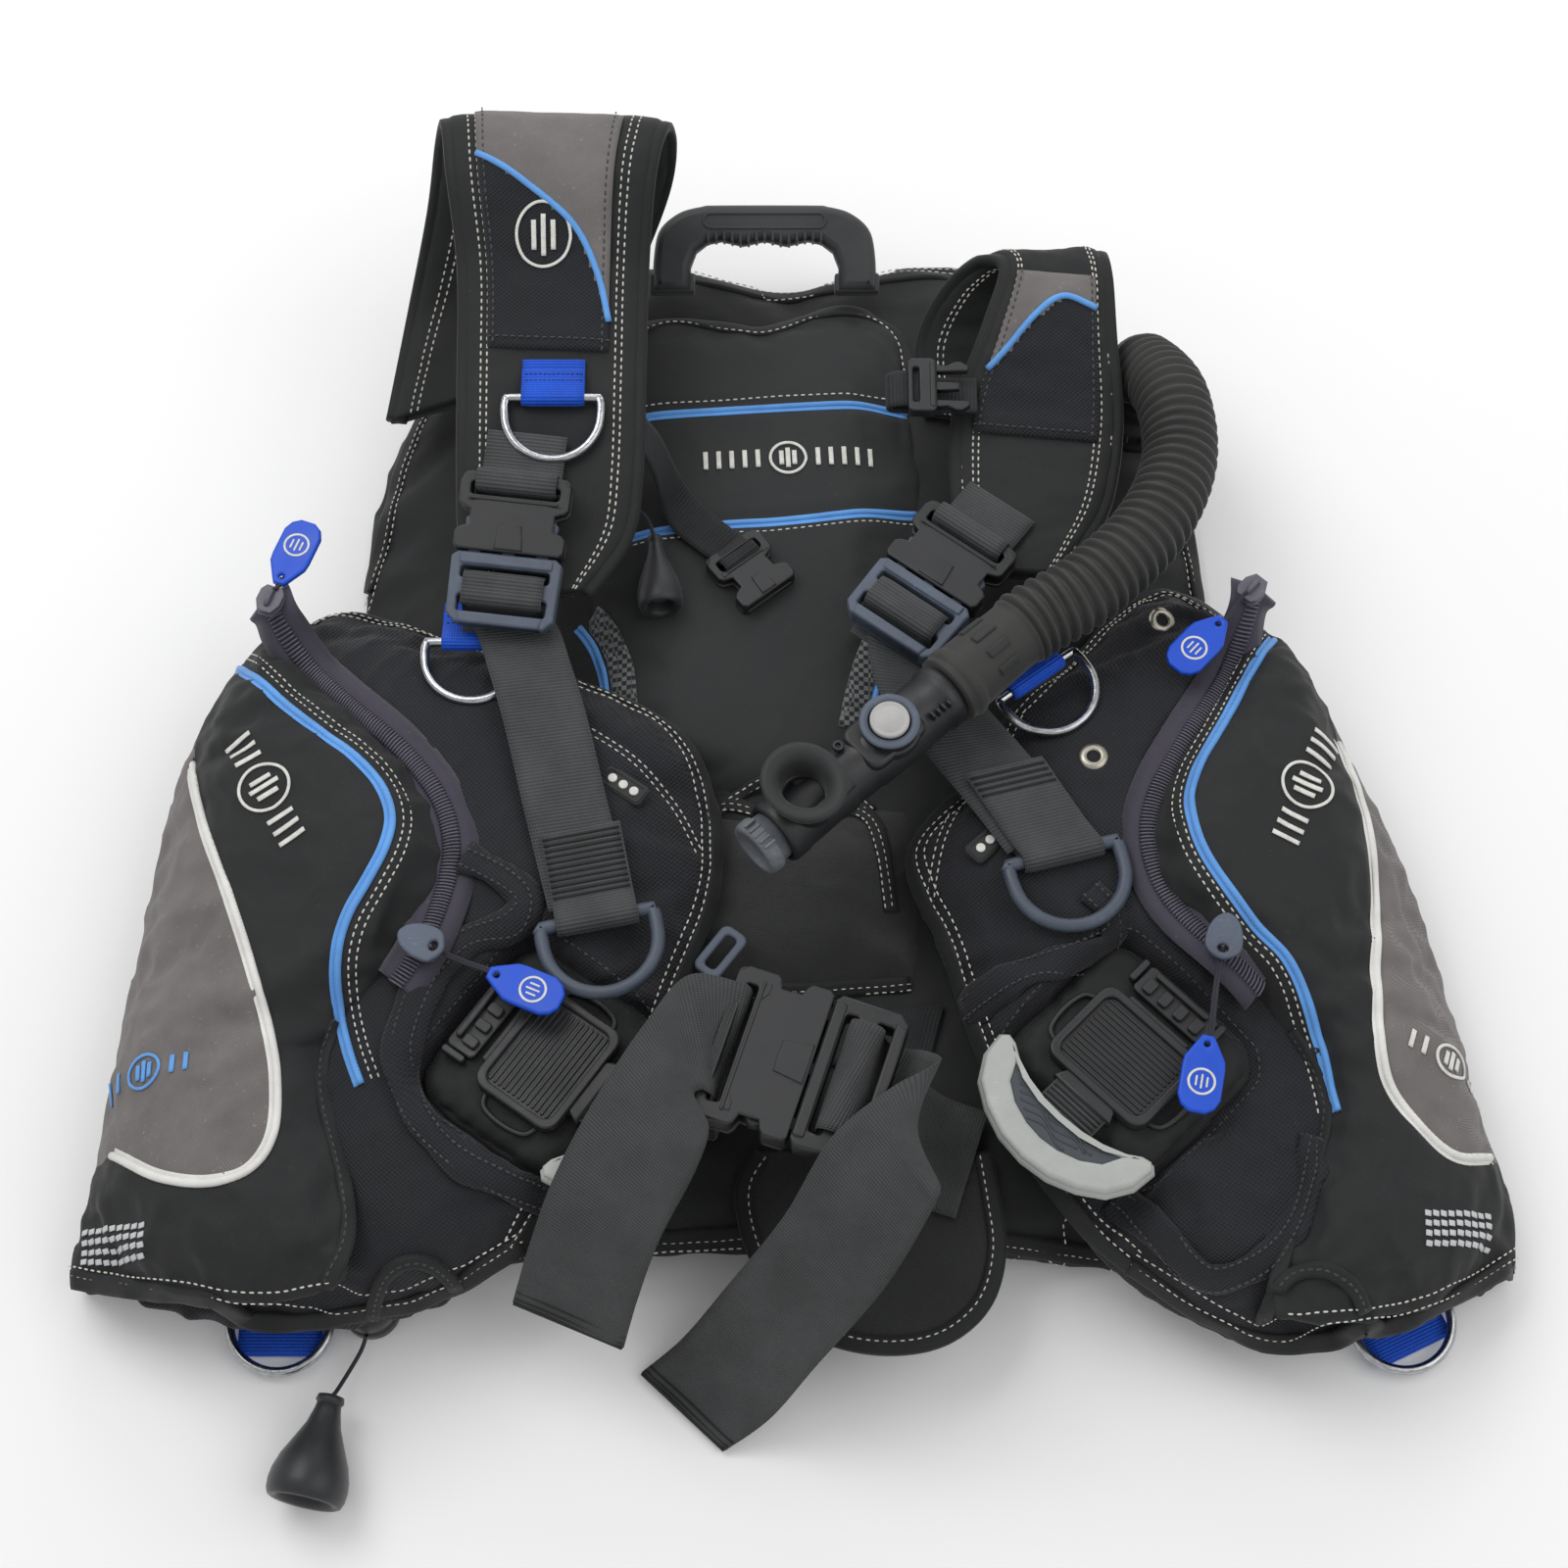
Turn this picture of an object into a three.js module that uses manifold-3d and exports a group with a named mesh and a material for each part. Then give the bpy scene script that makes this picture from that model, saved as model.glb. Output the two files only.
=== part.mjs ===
// Buoyancy compensator vest, lying on its back with its front up and open.
// Millimetres. +X is the wearer's left, +Y points to the collar, +Z comes out of the vest's front.
// The origin is on the floor under the middle of the vest.
import * as THREE from "three";
import { mergeVertices } from "three/addons/utils/BufferGeometryUtils.js";
import Module from "manifold-3d";

const wasm = await Module();
wasm.setup();

// Driving dimensions
const HEM_WIDTH = 656; // across both pockets at the hem
const VEST_LENGTH = 560; // collar to hem
const STRAP_PADDING = 8; // thickness of a padded shoulder strap
const SHOULDER_WEBBING = 38; // width of the shoulder webbing
const WAIST_WEBBING = 52; // width of the waist webbing
const WEBBING_THICKNESS = 1.8;
const RING_SPAN = 50; // outside width of a stainless D-ring
const RING_WIRE = 4.5; // its wire diameter
const PULL_RING_SPAN = 58; // outside width of a plastic pull ring
const PULL_RING_WIRE = 6.4;
const HOSE_DIAMETER = 37; // corrugated inflator hose
const SHOULDER_KNOB_LENGTH = 38;
const HEM_KNOB_LENGTH = 46;
const CORD_DIAMETER = 2;
const BUTTON_TRAVEL = 3; // power-inflate button
const DEFLATE_TRAVEL = 4; // oral deflate button
const GAP = 0.4; // clearance between touching pieces

// The outlines below are drawn at these two sizes and stretched to the driving ones.
const DRAWN_WIDTH = 656;
const DRAWN_LENGTH = 560;
const STRETCH_X = HEM_WIDTH / DRAWN_WIDTH;
const STRETCH_Y = VEST_LENGTH / DRAWN_LENGTH;

// Heights of the stacked layers
const BACK_TOP = 40; // inner face of the back panel
const PAD_TOP = 55; // top of the back and lumbar pads
const LOBE_FLOOR = 58; // underside of the front lobes over the pads
const LOBE_TOP = 84; // top of the front lobes
const SLEEVE_FLOOR = 62; // floor of the weight sleeves

const vest = new THREE.Group();
const UP = new THREE.Vector3(0, 0, 1);

const spot = (x, y, z) => new THREE.Vector3(x * STRETCH_X, y * STRETCH_Y, z);
// Moves the middle of the drawn outlines onto the part's origin.
const CENTRING = spot(-5, -11.3, 0);
const v3 = (x, y, z) => new THREE.Vector3(x, y, z);
const blend = (from, to, x) => THREE.MathUtils.smoothstep(x, from, to);

function material(color, roughness, metalness = 0) {
  return new THREE.MeshStandardMaterial({ color, roughness, metalness });
}

const MATERIALS = {
  fabric: material(0x2b2c2d, 0.9),
  weave: material(0x26282c, 0.85),
  webbing: material(0x3a3c3e, 0.85),
  blueWebbing: material(0x1e50c8, 0.8),
  blackPlastic: material(0x232426, 0.45),
  greyPlastic: material(0x5c6470, 0.5),
  palePlastic: material(0xb4b5ae, 0.5),
  rubber: material(0x2e2f30, 0.6),
  steel: material(0xc8cacc, 0.2, 1),
  cord: material(0x1c1d1f, 0.8),
};

function add(name, geometry, look, frame = new THREE.Matrix4()) {
  const mesh = new THREE.Mesh(geometry, look);
  mesh.name = name;
  mesh.applyMatrix4(frame);
  mesh.position.add(CENTRING);
  vest.add(mesh);
  return mesh;
}

// A frame with its origin at a point, its Y axis along a direction and its Z axis as near up as it can be.
function frameAt(origin, yAxis, upHint = UP) {
  const y = yAxis.clone().normalize();
  const x = new THREE.Vector3().crossVectors(y, upHint).normalize();
  const z = new THREE.Vector3().crossVectors(x, y);
  return new THREE.Matrix4().makeBasis(x, y, z).setPosition(origin);
}

// Solids -------------------------------------------------------------------------------------------

function solidOf(geometry) {
  const bare = geometry.index ? geometry.toNonIndexed() : geometry.clone();
  for (const attribute of Object.keys(bare.attributes)) {
    if (attribute !== "position") bare.deleteAttribute(attribute);
  }
  const merged = mergeVertices(bare, 1e-4);
  return new wasm.Manifold(new wasm.Mesh({
    numProp: 3,
    vertProperties: new Float32Array(merged.attributes.position.array),
    triVerts: new Uint32Array(merged.index.array),
  }));
}

function geometryOf(solid) {
  const { vertProperties, triVerts } = solid.getMesh();
  const geometry = new THREE.BufferGeometry();
  geometry.setAttribute("position", new THREE.BufferAttribute(new Float32Array(vertProperties), 3));
  geometry.setIndex(new THREE.BufferAttribute(new Uint32Array(triVerts), 1));
  geometry.computeVertexNormals();
  return geometry;
}

function join(...geometries) {
  const solids = geometries.map(solidOf);
  return geometryOf(solids.reduce((whole, next) => whole.add(next)));
}

function cut(geometry, ...tools) {
  return geometryOf(tools.map(solidOf).reduce((left, tool) => left.subtract(tool), solidOf(geometry)));
}

// A box given by its lowest and highest corners.
function block(low, high) {
  const box = new THREE.BoxGeometry(high[0] - low[0], high[1] - low[1], high[2] - low[2]);
  box.translate((low[0] + high[0]) / 2, (low[1] + high[1]) / 2, (low[2] + high[2]) / 2);
  return box;
}

function roundedRectangle(width, length, radius, y0 = -length / 2) {
  const half = width / 2;
  const y1 = y0 + length;
  const shape = new THREE.Shape();
  shape.moveTo(-half + radius, y0);
  shape.lineTo(half - radius, y0);
  shape.absarc(half - radius, y0 + radius, radius, -Math.PI / 2, 0);
  shape.absarc(half - radius, y1 - radius, radius, 0, Math.PI / 2);
  shape.absarc(-half + radius, y1 - radius, radius, Math.PI / 2, Math.PI);
  shape.absarc(-half + radius, y0 + radius, radius, Math.PI, Math.PI * 1.5);
  return shape;
}

function slab(shape, bottom, top, curveSegments = 3) {
  const geometry = new THREE.ExtrudeGeometry(shape, { depth: top - bottom, bevelEnabled: false, curveSegments });
  return geometry.translate(0, 0, bottom);
}

// Extrudes a shape drawn in Y and Z along X, centred on x = 0.
function alongX(shape, length, curveSegments = 4) {
  const geometry = slab(shape, -length / 2, length / 2, curveSegments);
  return geometry.applyMatrix4(new THREE.Matrix4().makeBasis(v3(0, 1, 0), v3(0, 0, 1), v3(1, 0, 0)));
}

// Extrudes a shape drawn in X and Z along Y, centred on y = 0.
function alongY(shape, length, curveSegments = 6) {
  const geometry = slab(shape, -length / 2, length / 2, curveSegments);
  return geometry.applyMatrix4(new THREE.Matrix4().makeBasis(v3(1, 0, 0), v3(0, 0, 1), v3(0, -1, 0)));
}

function closedMesh(points, triangles) {
  const geometry = new THREE.BufferGeometry().setFromPoints(points);
  let volume = 0;
  for (let i = 0; i < triangles.length; i += 3) {
    const [a, b, c] = triangles.slice(i, i + 3).map((k) => points[k]);
    volume += a.dot(new THREE.Vector3().crossVectors(b, c));
  }
  geometry.setIndex(volume < 0 ? triangles.slice().reverse() : triangles);
  geometry.computeVertexNormals();
  return geometry;
}

// Joins rings of points into a tube: closed into a hoop, or capped at both ends.
function skinRings(rings, hoop = false) {
  const sides = rings[0].length;
  const triangles = [];
  const spans = hoop ? rings.length : rings.length - 1;
  for (let j = 0; j < spans; j++) {
    const here = j * sides;
    const next = ((j + 1) % rings.length) * sides;
    for (let i = 0; i < sides; i++) {
      const k = (i + 1) % sides;
      triangles.push(here + i, here + k, next + k, here + i, next + k, next + i);
    }
  }
  if (!hoop) {
    const last = (rings.length - 1) * sides;
    for (let i = 1; i < sides - 1; i++) {
      triangles.push(0, i + 1, i, last, last + i, last + i + 1);
    }
  }
  return closedMesh(rings.flat(), triangles);
}

// A strip of webbing or padding between two edge curves, with one thickness throughout.
function ribbon(leftEdge, rightEdge, thickness, stepsPerStation = 2) {
  const left = new THREE.CatmullRomCurve3(leftEdge, false, "centripetal");
  const right = new THREE.CatmullRomCurve3(rightEdge, false, "centripetal");
  const steps = (leftEdge.length - 1) * stepsPerStation;
  const rings = [];
  for (let i = 0; i <= steps; i++) {
    const t = i / steps;
    const l = left.getPoint(t);
    const r = right.getPoint(t);
    const tangent = left.getTangent(t).add(right.getTangent(t));
    const normal = new THREE.Vector3().crossVectors(r.clone().sub(l), tangent).normalize();
    const offset = normal.multiplyScalar(thickness / 2);
    rings.push([
      l.clone().sub(offset), r.clone().sub(offset), r.clone().add(offset), l.clone().add(offset),
    ]);
  }
  return skinRings(rings);
}

// A padded panel stretched between four edge curves. low and high give its two faces' heights, and
// fullness runs from 0 along its edges to 1 inside.
function quilt(edges, low, high, across = 10, down = 12) {
  const curve = (points) => new THREE.CatmullRomCurve3(points.map(([x, y]) => spot(x, y, 0)));
  const far = curve(edges.far).getSpacedPoints(across);
  const near = curve(edges.near).getSpacedPoints(across);
  const left = curve(edges.left).getSpacedPoints(down);
  const right = curve(edges.right).getSpacedPoints(down);
  const point = (i, j) => {
    const u = i / across;
    const v = j / down;
    const rails = far[i].clone().lerp(near[i], v).add(left[j].clone().lerp(right[j], u));
    const top = far[0].clone().lerp(far[across], u);
    const bottom = near[0].clone().lerp(near[across], u);
    return rails.sub(top.lerp(bottom, v));
  };
  const points = [];
  for (const face of [low, high]) {
    for (let j = 0; j <= down; j++) {
      for (let i = 0; i <= across; i++) {
        const p = point(i, j);
        const fullU = 1 - Math.pow(Math.abs(2 * i / across - 1), 4);
        const fullV = 1 - Math.pow(Math.abs(2 * j / down - 1), 4);
        p.z = face(p.x / STRETCH_X, p.y / STRETCH_Y, Math.sqrt(Math.max(fullU * fullV, 0)));
        points.push(p);
      }
    }
  }
  const row = across + 1;
  const layer = row * (down + 1);
  const triangles = [];
  const quad = (a, b, c, d) => triangles.push(a, b, c, a, c, d);
  for (let j = 0; j < down; j++) {
    for (let i = 0; i < across; i++) {
      const k = j * row + i;
      quad(k, k + 1, k + row + 1, k + row);
      quad(layer + k, layer + k + row, layer + k + row + 1, layer + k + 1);
    }
    const l = j * row;
    const r = l + across;
    quad(l, l + row, layer + l + row, layer + l);
    quad(r, layer + r, layer + r + row, r + row);
  }
  for (let i = 0; i < across; i++) {
    const k = down * row + i;
    quad(i, layer + i, layer + i + 1, i + 1);
    quad(k, k + 1, layer + k + 1, layer + k);
  }
  return closedMesh(points, triangles);
}

// A round-wire hoop lying in its own XY plane.
function wireHoop(path, wire, sides = 6) {
  const rings = path.map((p, i) => {
    const before = path[(i + path.length - 1) % path.length];
    const after = path[(i + 1) % path.length];
    const tangent = after.clone().sub(before).normalize();
    const outward = new THREE.Vector3().crossVectors(tangent, UP);
    return Array.from({ length: sides }, (_, k) => {
      const angle = (2 * Math.PI * k) / sides;
      const reach = outward.clone().multiplyScalar(Math.cos(angle) * wire / 2);
      return p.clone().add(reach).addScaledVector(UP, Math.sin(angle) * wire / 2);
    });
  });
  return skinRings(rings, true);
}

// A D-ring: its straight bar lies on the local X axis and its bow reaches towards -Y.
function dRing(span, wire, straight) {
  const half = (span - wire) / 2;
  const corner = 3;
  const path = [v3(-half + corner, 0, 0), v3(half - corner, 0, 0), v3(half - 0.9, -0.9, 0), v3(half, -corner, 0)];
  const arcSteps = 9;
  for (let i = 0; i <= arcSteps; i++) {
    const angle = (Math.PI * i) / arcSteps;
    path.push(v3(half * Math.cos(angle), -straight - half * Math.sin(angle), 0));
  }
  path.push(v3(-half, -corner, 0), v3(-half + 0.9, -0.9, 0));
  return wireHoop(path, wire);
}

// The webbing loop that holds a ring's bar: a sleeve round the local X axis with a tail towards +Y.
function keeper(width, tail) {
  const hole = RING_WIRE / 2 + GAP;
  const outer = hole + 1.6;
  const ply = 1.9;
  const shape = new THREE.Shape();
  shape.moveTo(0, -outer);
  shape.lineTo(tail, -outer);
  shape.lineTo(tail, -outer + ply);
  const lift = Math.asin((outer - ply) / outer);
  shape.absarc(0, 0, outer, -lift, Math.PI * 1.5);
  const bore = new THREE.Path();
  bore.absarc(0, 0, hole, 0, Math.PI * 2, true);
  shape.holes.push(bore);
  return alongX(shape, width, 5);
}

function roundRod(from, to, radius, sides = 14) {
  const length = from.distanceTo(to);
  const rod = new THREE.CylinderGeometry(radius, radius, length, sides);
  rod.translate(0, length / 2, 0);
  rod.applyQuaternion(new THREE.Quaternion().setFromUnitVectors(v3(0, 1, 0), to.clone().sub(from).normalize()));
  return rod.translate(from.x, from.y, from.z);
}

function cordAlong(points, diameter, steps) {
  const section = new THREE.Shape().absarc(0, 0, diameter / 2, 0, Math.PI * 2);
  const extrudePath = new THREE.CatmullRomCurve3(points);
  return new THREE.ExtrudeGeometry(section, { steps, extrudePath, curveSegments: 8, bevelEnabled: false });
}

// Back ---------------------------------------------------------------------------------------------

// The back lies flat on the floor at its sides and bridges the backpack plate and tank band in the middle.
const backFloor = (x) => 18.4 * (1 - blend(100, 140, Math.abs(x)));
const backTop = (x) => BACK_TOP - 12 * blend(100, 150, Math.abs(x));

function addBack() {
  const side = [[-175, 268], [-203, 215], [-215, 150], [-212, 100], [-240, 40], [-262, -60], [-268, -150], [-262, -220]];
  const mirror = (points) => points.map(([x, y]) => [-x, y]);
  add("air_cell_back", quilt({
    far: [[-175, 268], [-112, 316], [-60, 318], [0, 304], [60, 318], [112, 316], [175, 268]],
    near: [[-262, -220], [-130, -222], [0, -218], [130, -222], [262, -220]],
    left: side,
    right: mirror(side),
  }, (x) => backFloor(x), (x, y, full) => backFloor(x) + 6 + (backTop(x) - backFloor(x) - 6) * full, 22, 14), MATERIALS.fabric);

  add("back_pad", quilt({
    far: [[-95, 262], [-60, 273], [-8, 268], [36, 281], [60, 262]],
    near: [[-70, 8], [-8, -2], [52, 8]],
    left: [[-95, 262], [-97, 150], [-92, 70], [-70, 8]],
    right: [[60, 262], [70, 150], [64, 70], [52, 8]],
  }, () => BACK_TOP + GAP, (x, y, full) => PAD_TOP - 9 + 9 * full), MATERIALS.fabric);

  add("lumbar_pad", quilt({
    far: [[-78, 0], [-8, -10], [62, 0]],
    near: [[-75, -100], [-8, -104], [62, -100]],
    left: [[-78, 0], [-82, -50], [-75, -100]],
    right: [[62, 0], [66, -50], [62, -100]],
  }, () => BACK_TOP + GAP, (x, y, full) => PAD_TOP - 10 + 9 * full, 8, 8), MATERIALS.fabric);
}

// Moulded plate that the tank sits against, bowed away from the tank in the middle.
function addBackpack() {
  const width = 150;
  const half = width / 2;
  const profile = new THREE.Shape();
  profile.moveTo(-half, 12.6);
  profile.quadraticCurveTo(0, 16.4, half, 12.6);
  profile.lineTo(half, 15.4);
  profile.quadraticCurveTo(0, 20, -half, 15.4);
  profile.closePath();
  const length = 330 * STRETCH_Y;
  const plate = alongY(profile, length).translate(0, 55 * STRETCH_Y, 0);
  const windows = [-70, 150].map((y) => slab(roundedRectangle(56, 60, 12), 0, 30).translate(0, y * STRETCH_Y, 0));
  add("backpack_plate", cut(plate, ...windows), MATERIALS.blackPlastic);

  // The tank band's loop, empty and folded flat behind the plate.
  const bandHalf = 94;
  const loop = new THREE.Shape();
  loop.moveTo(-bandHalf, 7);
  loop.lineTo(bandHalf, 7);
  loop.absarc(bandHalf, 9.4, 2.4, -Math.PI / 2, Math.PI / 2);
  loop.lineTo(-bandHalf, 11.8);
  loop.absarc(-bandHalf, 9.4, 2.4, Math.PI / 2, Math.PI * 1.5);
  const inside = new THREE.Path();
  inside.moveTo(-bandHalf, 8.8);
  inside.absarc(-bandHalf, 9.4, 0.6, Math.PI * 1.5, Math.PI / 2, true);
  inside.lineTo(bandHalf, 10);
  inside.absarc(bandHalf, 9.4, 0.6, Math.PI / 2, -Math.PI / 2, true);
  loop.holes.push(inside);
  add("tank_band", alongY(loop, 50, 4).translate(0, -10, 0), MATERIALS.webbing);

  // Cam buckle: a slotted frame under the band, and a lever hinged at its end.
  const frame = slab(roundedRectangle(66, 58, 5), 3.6, 6.6);
  const slots = [-20, -8, 18].map((x) => block([x - 2.5, -25.5, 0], [x + 2.5, 25.5, 10]));
  add("cam_buckle_frame", cut(frame, ...slots).translate(0, -10, 0), MATERIALS.blackPlastic);
  add("cam_buckle_lever", slab(roundedRectangle(52, 54, 6), 0, 3.2).translate(-4, -10, 0), MATERIALS.blackPlastic);
}

// Rubber carry handle: a flat arch leaning up from the collar, with finger swells on its inner side.
function addCarryHandle() {
  const arch = new THREE.Shape();
  arch.moveTo(-57, 0);
  arch.lineTo(-57, 16);
  arch.quadraticCurveTo(-55, 42, -24, 44);
  arch.lineTo(24, 44);
  arch.quadraticCurveTo(55, 42, 57, 16);
  arch.lineTo(57, 0);
  arch.lineTo(38, 0);
  arch.lineTo(38, 12);
  arch.quadraticCurveTo(36, 26, 22, 26);
  arch.quadraticCurveTo(12, 22, 0, 26);
  arch.quadraticCurveTo(-12, 22, -22, 26);
  arch.quadraticCurveTo(-36, 26, -38, 12);
  arch.lineTo(-38, 0);
  arch.closePath();
  const handle = slab(arch, 0, 14, 5).rotateX(0.42).translate(-10, 0, 0);
  handle.translate(0, 286 * STRETCH_Y, 46);
  add("carry_handle", handle, MATERIALS.rubber);
}

// Shoulders ----------------------------------------------------------------------------------------

function addShoulderStraps() {
  const rightOuter = [
    [-198, 205, 51], [-190, 262, 59], [-178, 300, 95], [-170, 314, 135], [-164, 306, 160], [-160, 278, 159],
    [-155, 240, 135], [-154, 190, 121], [-153, 140, 110], [-150, 102, 101], [-138, 78, 96.5],
  ];
  const rightInner = [
    [-102, 238, 52], [-78, 288, 61], [-60, 314, 95], [-55, 314, 135], [-58, 304, 160], [-64, 277, 159],
    [-68, 240, 135], [-69, 190, 121], [-70, 140, 110], [-75, 110, 101], [-94, 83, 96.5],
  ];
  const leftInner = [
    [74, 212, 47], [70, 246, 58], [82, 264, 80], [100, 268, 101], [110, 256, 111], [100, 225, 103],
    [86, 190, 88], [84, 150, 84], [88, 120, 84], [98, 100, 84],
  ];
  const leftOuter = [
    [146, 200, 47], [150, 238, 60], [156, 262, 82], [156, 270, 102], [158, 254, 109], [160, 222, 100],
    [163, 182, 87], [156, 140, 84], [142, 114, 84], [130, 98, 84],
  ];
  const place = (edge) => edge.map(([x, y, z]) => spot(x, y, z));
  add("shoulder_strap_right", ribbon(place(rightOuter), place(rightInner), STRAP_PADDING), MATERIALS.weave);
  add("shoulder_strap_left", ribbon(place(leftInner), place(leftOuter), STRAP_PADDING), MATERIALS.weave);
}

// Side-release buckle. Its mouth is at the local origin, the female half reaches towards +Y and the male
// half towards -Y. Webbing runs through the slots.
function buckleFemale({ width, femaleLength, thick, webbing }) {
  const body = slab(roundedRectangle(width, femaleLength, 5, 0), -thick / 2, thick / 2);
  const wall = 2.4;
  const depth = femaleLength * 0.6;
  const pocket = block([-width / 2 + 4, -1, -thick / 2 + wall], [width / 2 - 4, depth, thick / 2 - wall]);
  const windowAt = (side) => block(
    [side * width / 2 - 5, femaleLength * 0.3, -thick],
    [side * width / 2 + 5, femaleLength * 0.55, thick],
  );
  const slot = block([-webbing / 2 - 2, femaleLength - 11, -thick], [webbing / 2 + 2, femaleLength - 5, thick]);
  return cut(body, pocket, windowAt(-1), windowAt(1), slot);
}

function buckleMale({ width, femaleLength, maleLength, thick, webbing }) {
  const body = slab(roundedRectangle(width, maleLength, 4, -maleLength - GAP), -thick / 2, thick / 2);
  const reach = femaleLength * 0.5;
  const flat = thick / 2 - 3.2;
  const prongX = width / 2 - 10;
  const prong = (side) => block([side * prongX - 3.5, -4, -flat], [side * prongX + 3.5, reach, flat]);
  const tongue = block([-3, -4, -flat], [3, reach - 3, flat]);
  const slotAt = (y0, y1) => block([-webbing / 2 - 2, y0, -thick], [webbing / 2 + 2, y1, thick]);
  return cut(join(body, prong(-1), prong(1), tongue), slotAt(-13, -7), slotAt(-29, -21));
}

const SHOULDER_BUCKLE = { width: 52, femaleLength: 38, maleLength: 34, thick: 12, webbing: SHOULDER_WEBBING };
const WAIST_BUCKLE = { width: 72, femaleLength: 44, maleLength: 34, thick: 15, webbing: WAIST_WEBBING };

// The right buckle keeps its distance from the D-ring above it, and the left one from the inflator.
const rightMouth = (x = 0, y = 0, z = 0) => spot(...RING_PLACES.shoulder_right.at).add(v3(x - 19, y - 79, z - 13));
const leftMouth = (x = 0, y = 0, z = 0) => INFLATOR_START.clone().add(v3(x - 6, y + 65, z - 18));

function addShoulderBuckles() {
  const places = { right: frameAt(rightMouth(), v3(9, 74, 22)), left: frameAt(leftMouth(), v3(0.6, 0.8, 0)) };
  for (const [side, frame] of Object.entries(places)) {
    add(`shoulder_buckle_female_${side}`, buckleFemale(SHOULDER_BUCKLE), MATERIALS.blackPlastic, frame);
    add(`shoulder_buckle_ladder_${side}`, buckleMale(SHOULDER_BUCKLE), MATERIALS.greyPlastic, frame);
  }
}

// Each webbing leaves the ladder half and runs over the front lobe to its pull ring.
function addShoulderWebbing() {
  const half = SHOULDER_WEBBING / 2;
  const run = (stations) => {
    const edge = (side) => stations.map(([at, dx, dy]) => at.clone().add(v3(side * dx, side * dy, 0)));
    return ribbon(edge(-half), edge(half), WEBBING_THICKNESS);
  };
  add("shoulder_webbing_right", run([
    [rightMouth(-1, -21, -17.8), 1, 0.1], [rightMouth(5, -33, -17.4), 1, 0.1], [rightMouth(10, -49, -14.5), 1, 0.1],
    [spot(-110, 14, 98.5), 0.98, 0.2], [spot(-99, -30, 95.5), 0.98, 0.2], [spot(-87, -76, 95), 0.98, 0.2],
  ]), MATERIALS.webbing);
  add("shoulder_webbing_left", run([
    [leftMouth(-14, -28, -8), 0.8, -0.6], [leftMouth(-6, -46, -7.5), 0.98, 0.15],
    [spot(80, 13, 91), 0.88, 0.45], [spot(102, -18, 93.4), 0.83, 0.55], [spot(117, -41, 95), 0.83, 0.55],
  ]), MATERIALS.webbing);
  const pull = dRing(PULL_RING_SPAN, PULL_RING_WIRE, 10);
  add("pull_ring_right", pull, MATERIALS.greyPlastic, frameAt(spot(-84, -83, 95.4), v3(-0.2, 0.98, 0)));
  add("pull_ring_left", pull.clone(), MATERIALS.greyPlastic, frameAt(spot(126, -51, 95.4), v3(-0.25, 0.97, 0)));
}

// D-rings, each with its keeper. The frame's origin is on the ring's bar. A ring that grows keeps its edge
// on one side where it is, away from what lies there.
const RING_PLACES = {
  shoulder_right: { at: [-110, 172, 126], toKeeper: [0, 0.976, 0.22], tail: 14, grows: 0 },
  chest_right: { at: [-146, 60, 89.4], toKeeper: [0, 1, 0], tail: 16, grows: -1 },
  chest_left: { at: [118, 42, 89.4], toKeeper: [-0.6, 0.8, 0], tail: 16, grows: 1 },
  hem_right: { at: [-228, -236, 7], toKeeper: [0, 1, 0], tail: 10, grows: -1 },
  hem_left: { at: [276, -236, 7], toKeeper: [-0.42, 0.9, 0], tail: 10, grows: 0 },
};
const DRAWN_RING_SPAN = 50;

function addRings() {
  for (const [name, { at, toKeeper, tail, grows }] of Object.entries(RING_PLACES)) {
    const frame = frameAt(spot(...at), spot(...toKeeper));
    frame.multiply(new THREE.Matrix4().makeTranslation(grows * (RING_SPAN - DRAWN_RING_SPAN) / 2, 0, 0));
    add(`d_ring_${name}`, dRing(RING_SPAN, RING_WIRE, 8), MATERIALS.steel, frame);
    add(`keeper_${name}`, keeper(30, tail), MATERIALS.blueWebbing, frame);
  }
}

// Sternum strap halves, open: short webbing with half a buckle, turning where it is sewn to the strap.
function addSternumStrap() {
  const small = { width: 32, femaleLength: 34, maleLength: 22, thick: 9, webbing: 20 };
  const buckleFrame = frameAt(spot(-6, 100, 62), v3(-0.62, 0.78, 0));
  const female = buckleFemale(small).applyMatrix4(buckleFrame);
  const bar = spot(-6, 100, 62).addScaledVector(v3(-0.62, 0.78, 0), 31);
  const upper = [[-67.5, 170, 113], [-60, 168, 98], [-52, 162, 75], [-42, 152, 63]].map((p) => spot(...p));
  const lower = [[-67.5, 150, 111], [-63, 148, 95], [-60, 145, 73], [-54, 136, 62]].map((p) => spot(...p));
  upper.push(bar.clone().add(v3(7.8, 6.2, 0)));
  lower.push(bar.clone().add(v3(-7.8, -6.2, 0)));
  add("sternum_half_right", join(ribbon(upper, lower, 1.6), female), MATERIALS.blackPlastic);

  // The strap under this webbing rises 0.43 for each drawn millimetre.
  const hinge = spot(94, 191, 93.9 + 4.3 / STRETCH_Y);
  const from = (x, y, z) => hinge.clone().add(v3(x, y, z));
  const fold = [[0, 0], [-20, 0], [-39, 0.2], [-44, 3], [-40, 6], [-31, 6.8], [-26, 7]];
  const webbing = ribbon(fold.map(([x, z]) => from(x, 10, z)), fold.map(([x, z]) => from(x, -10, z)), 1.6);
  const frame = frameAt(from(-20, 0, 7.2), v3(-1, 0, 0));
  const male = join(
    slab(roundedRectangle(30, 14, 3, 0), -3.4, 3.4),
    block([-12, -16, -2], [-8, 1, 2]),
    block([8, -16, -2], [12, 1, 2]),
  ).applyMatrix4(frame);
  add("sternum_half_left", join(webbing, male), MATERIALS.blackPlastic);
}

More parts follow.
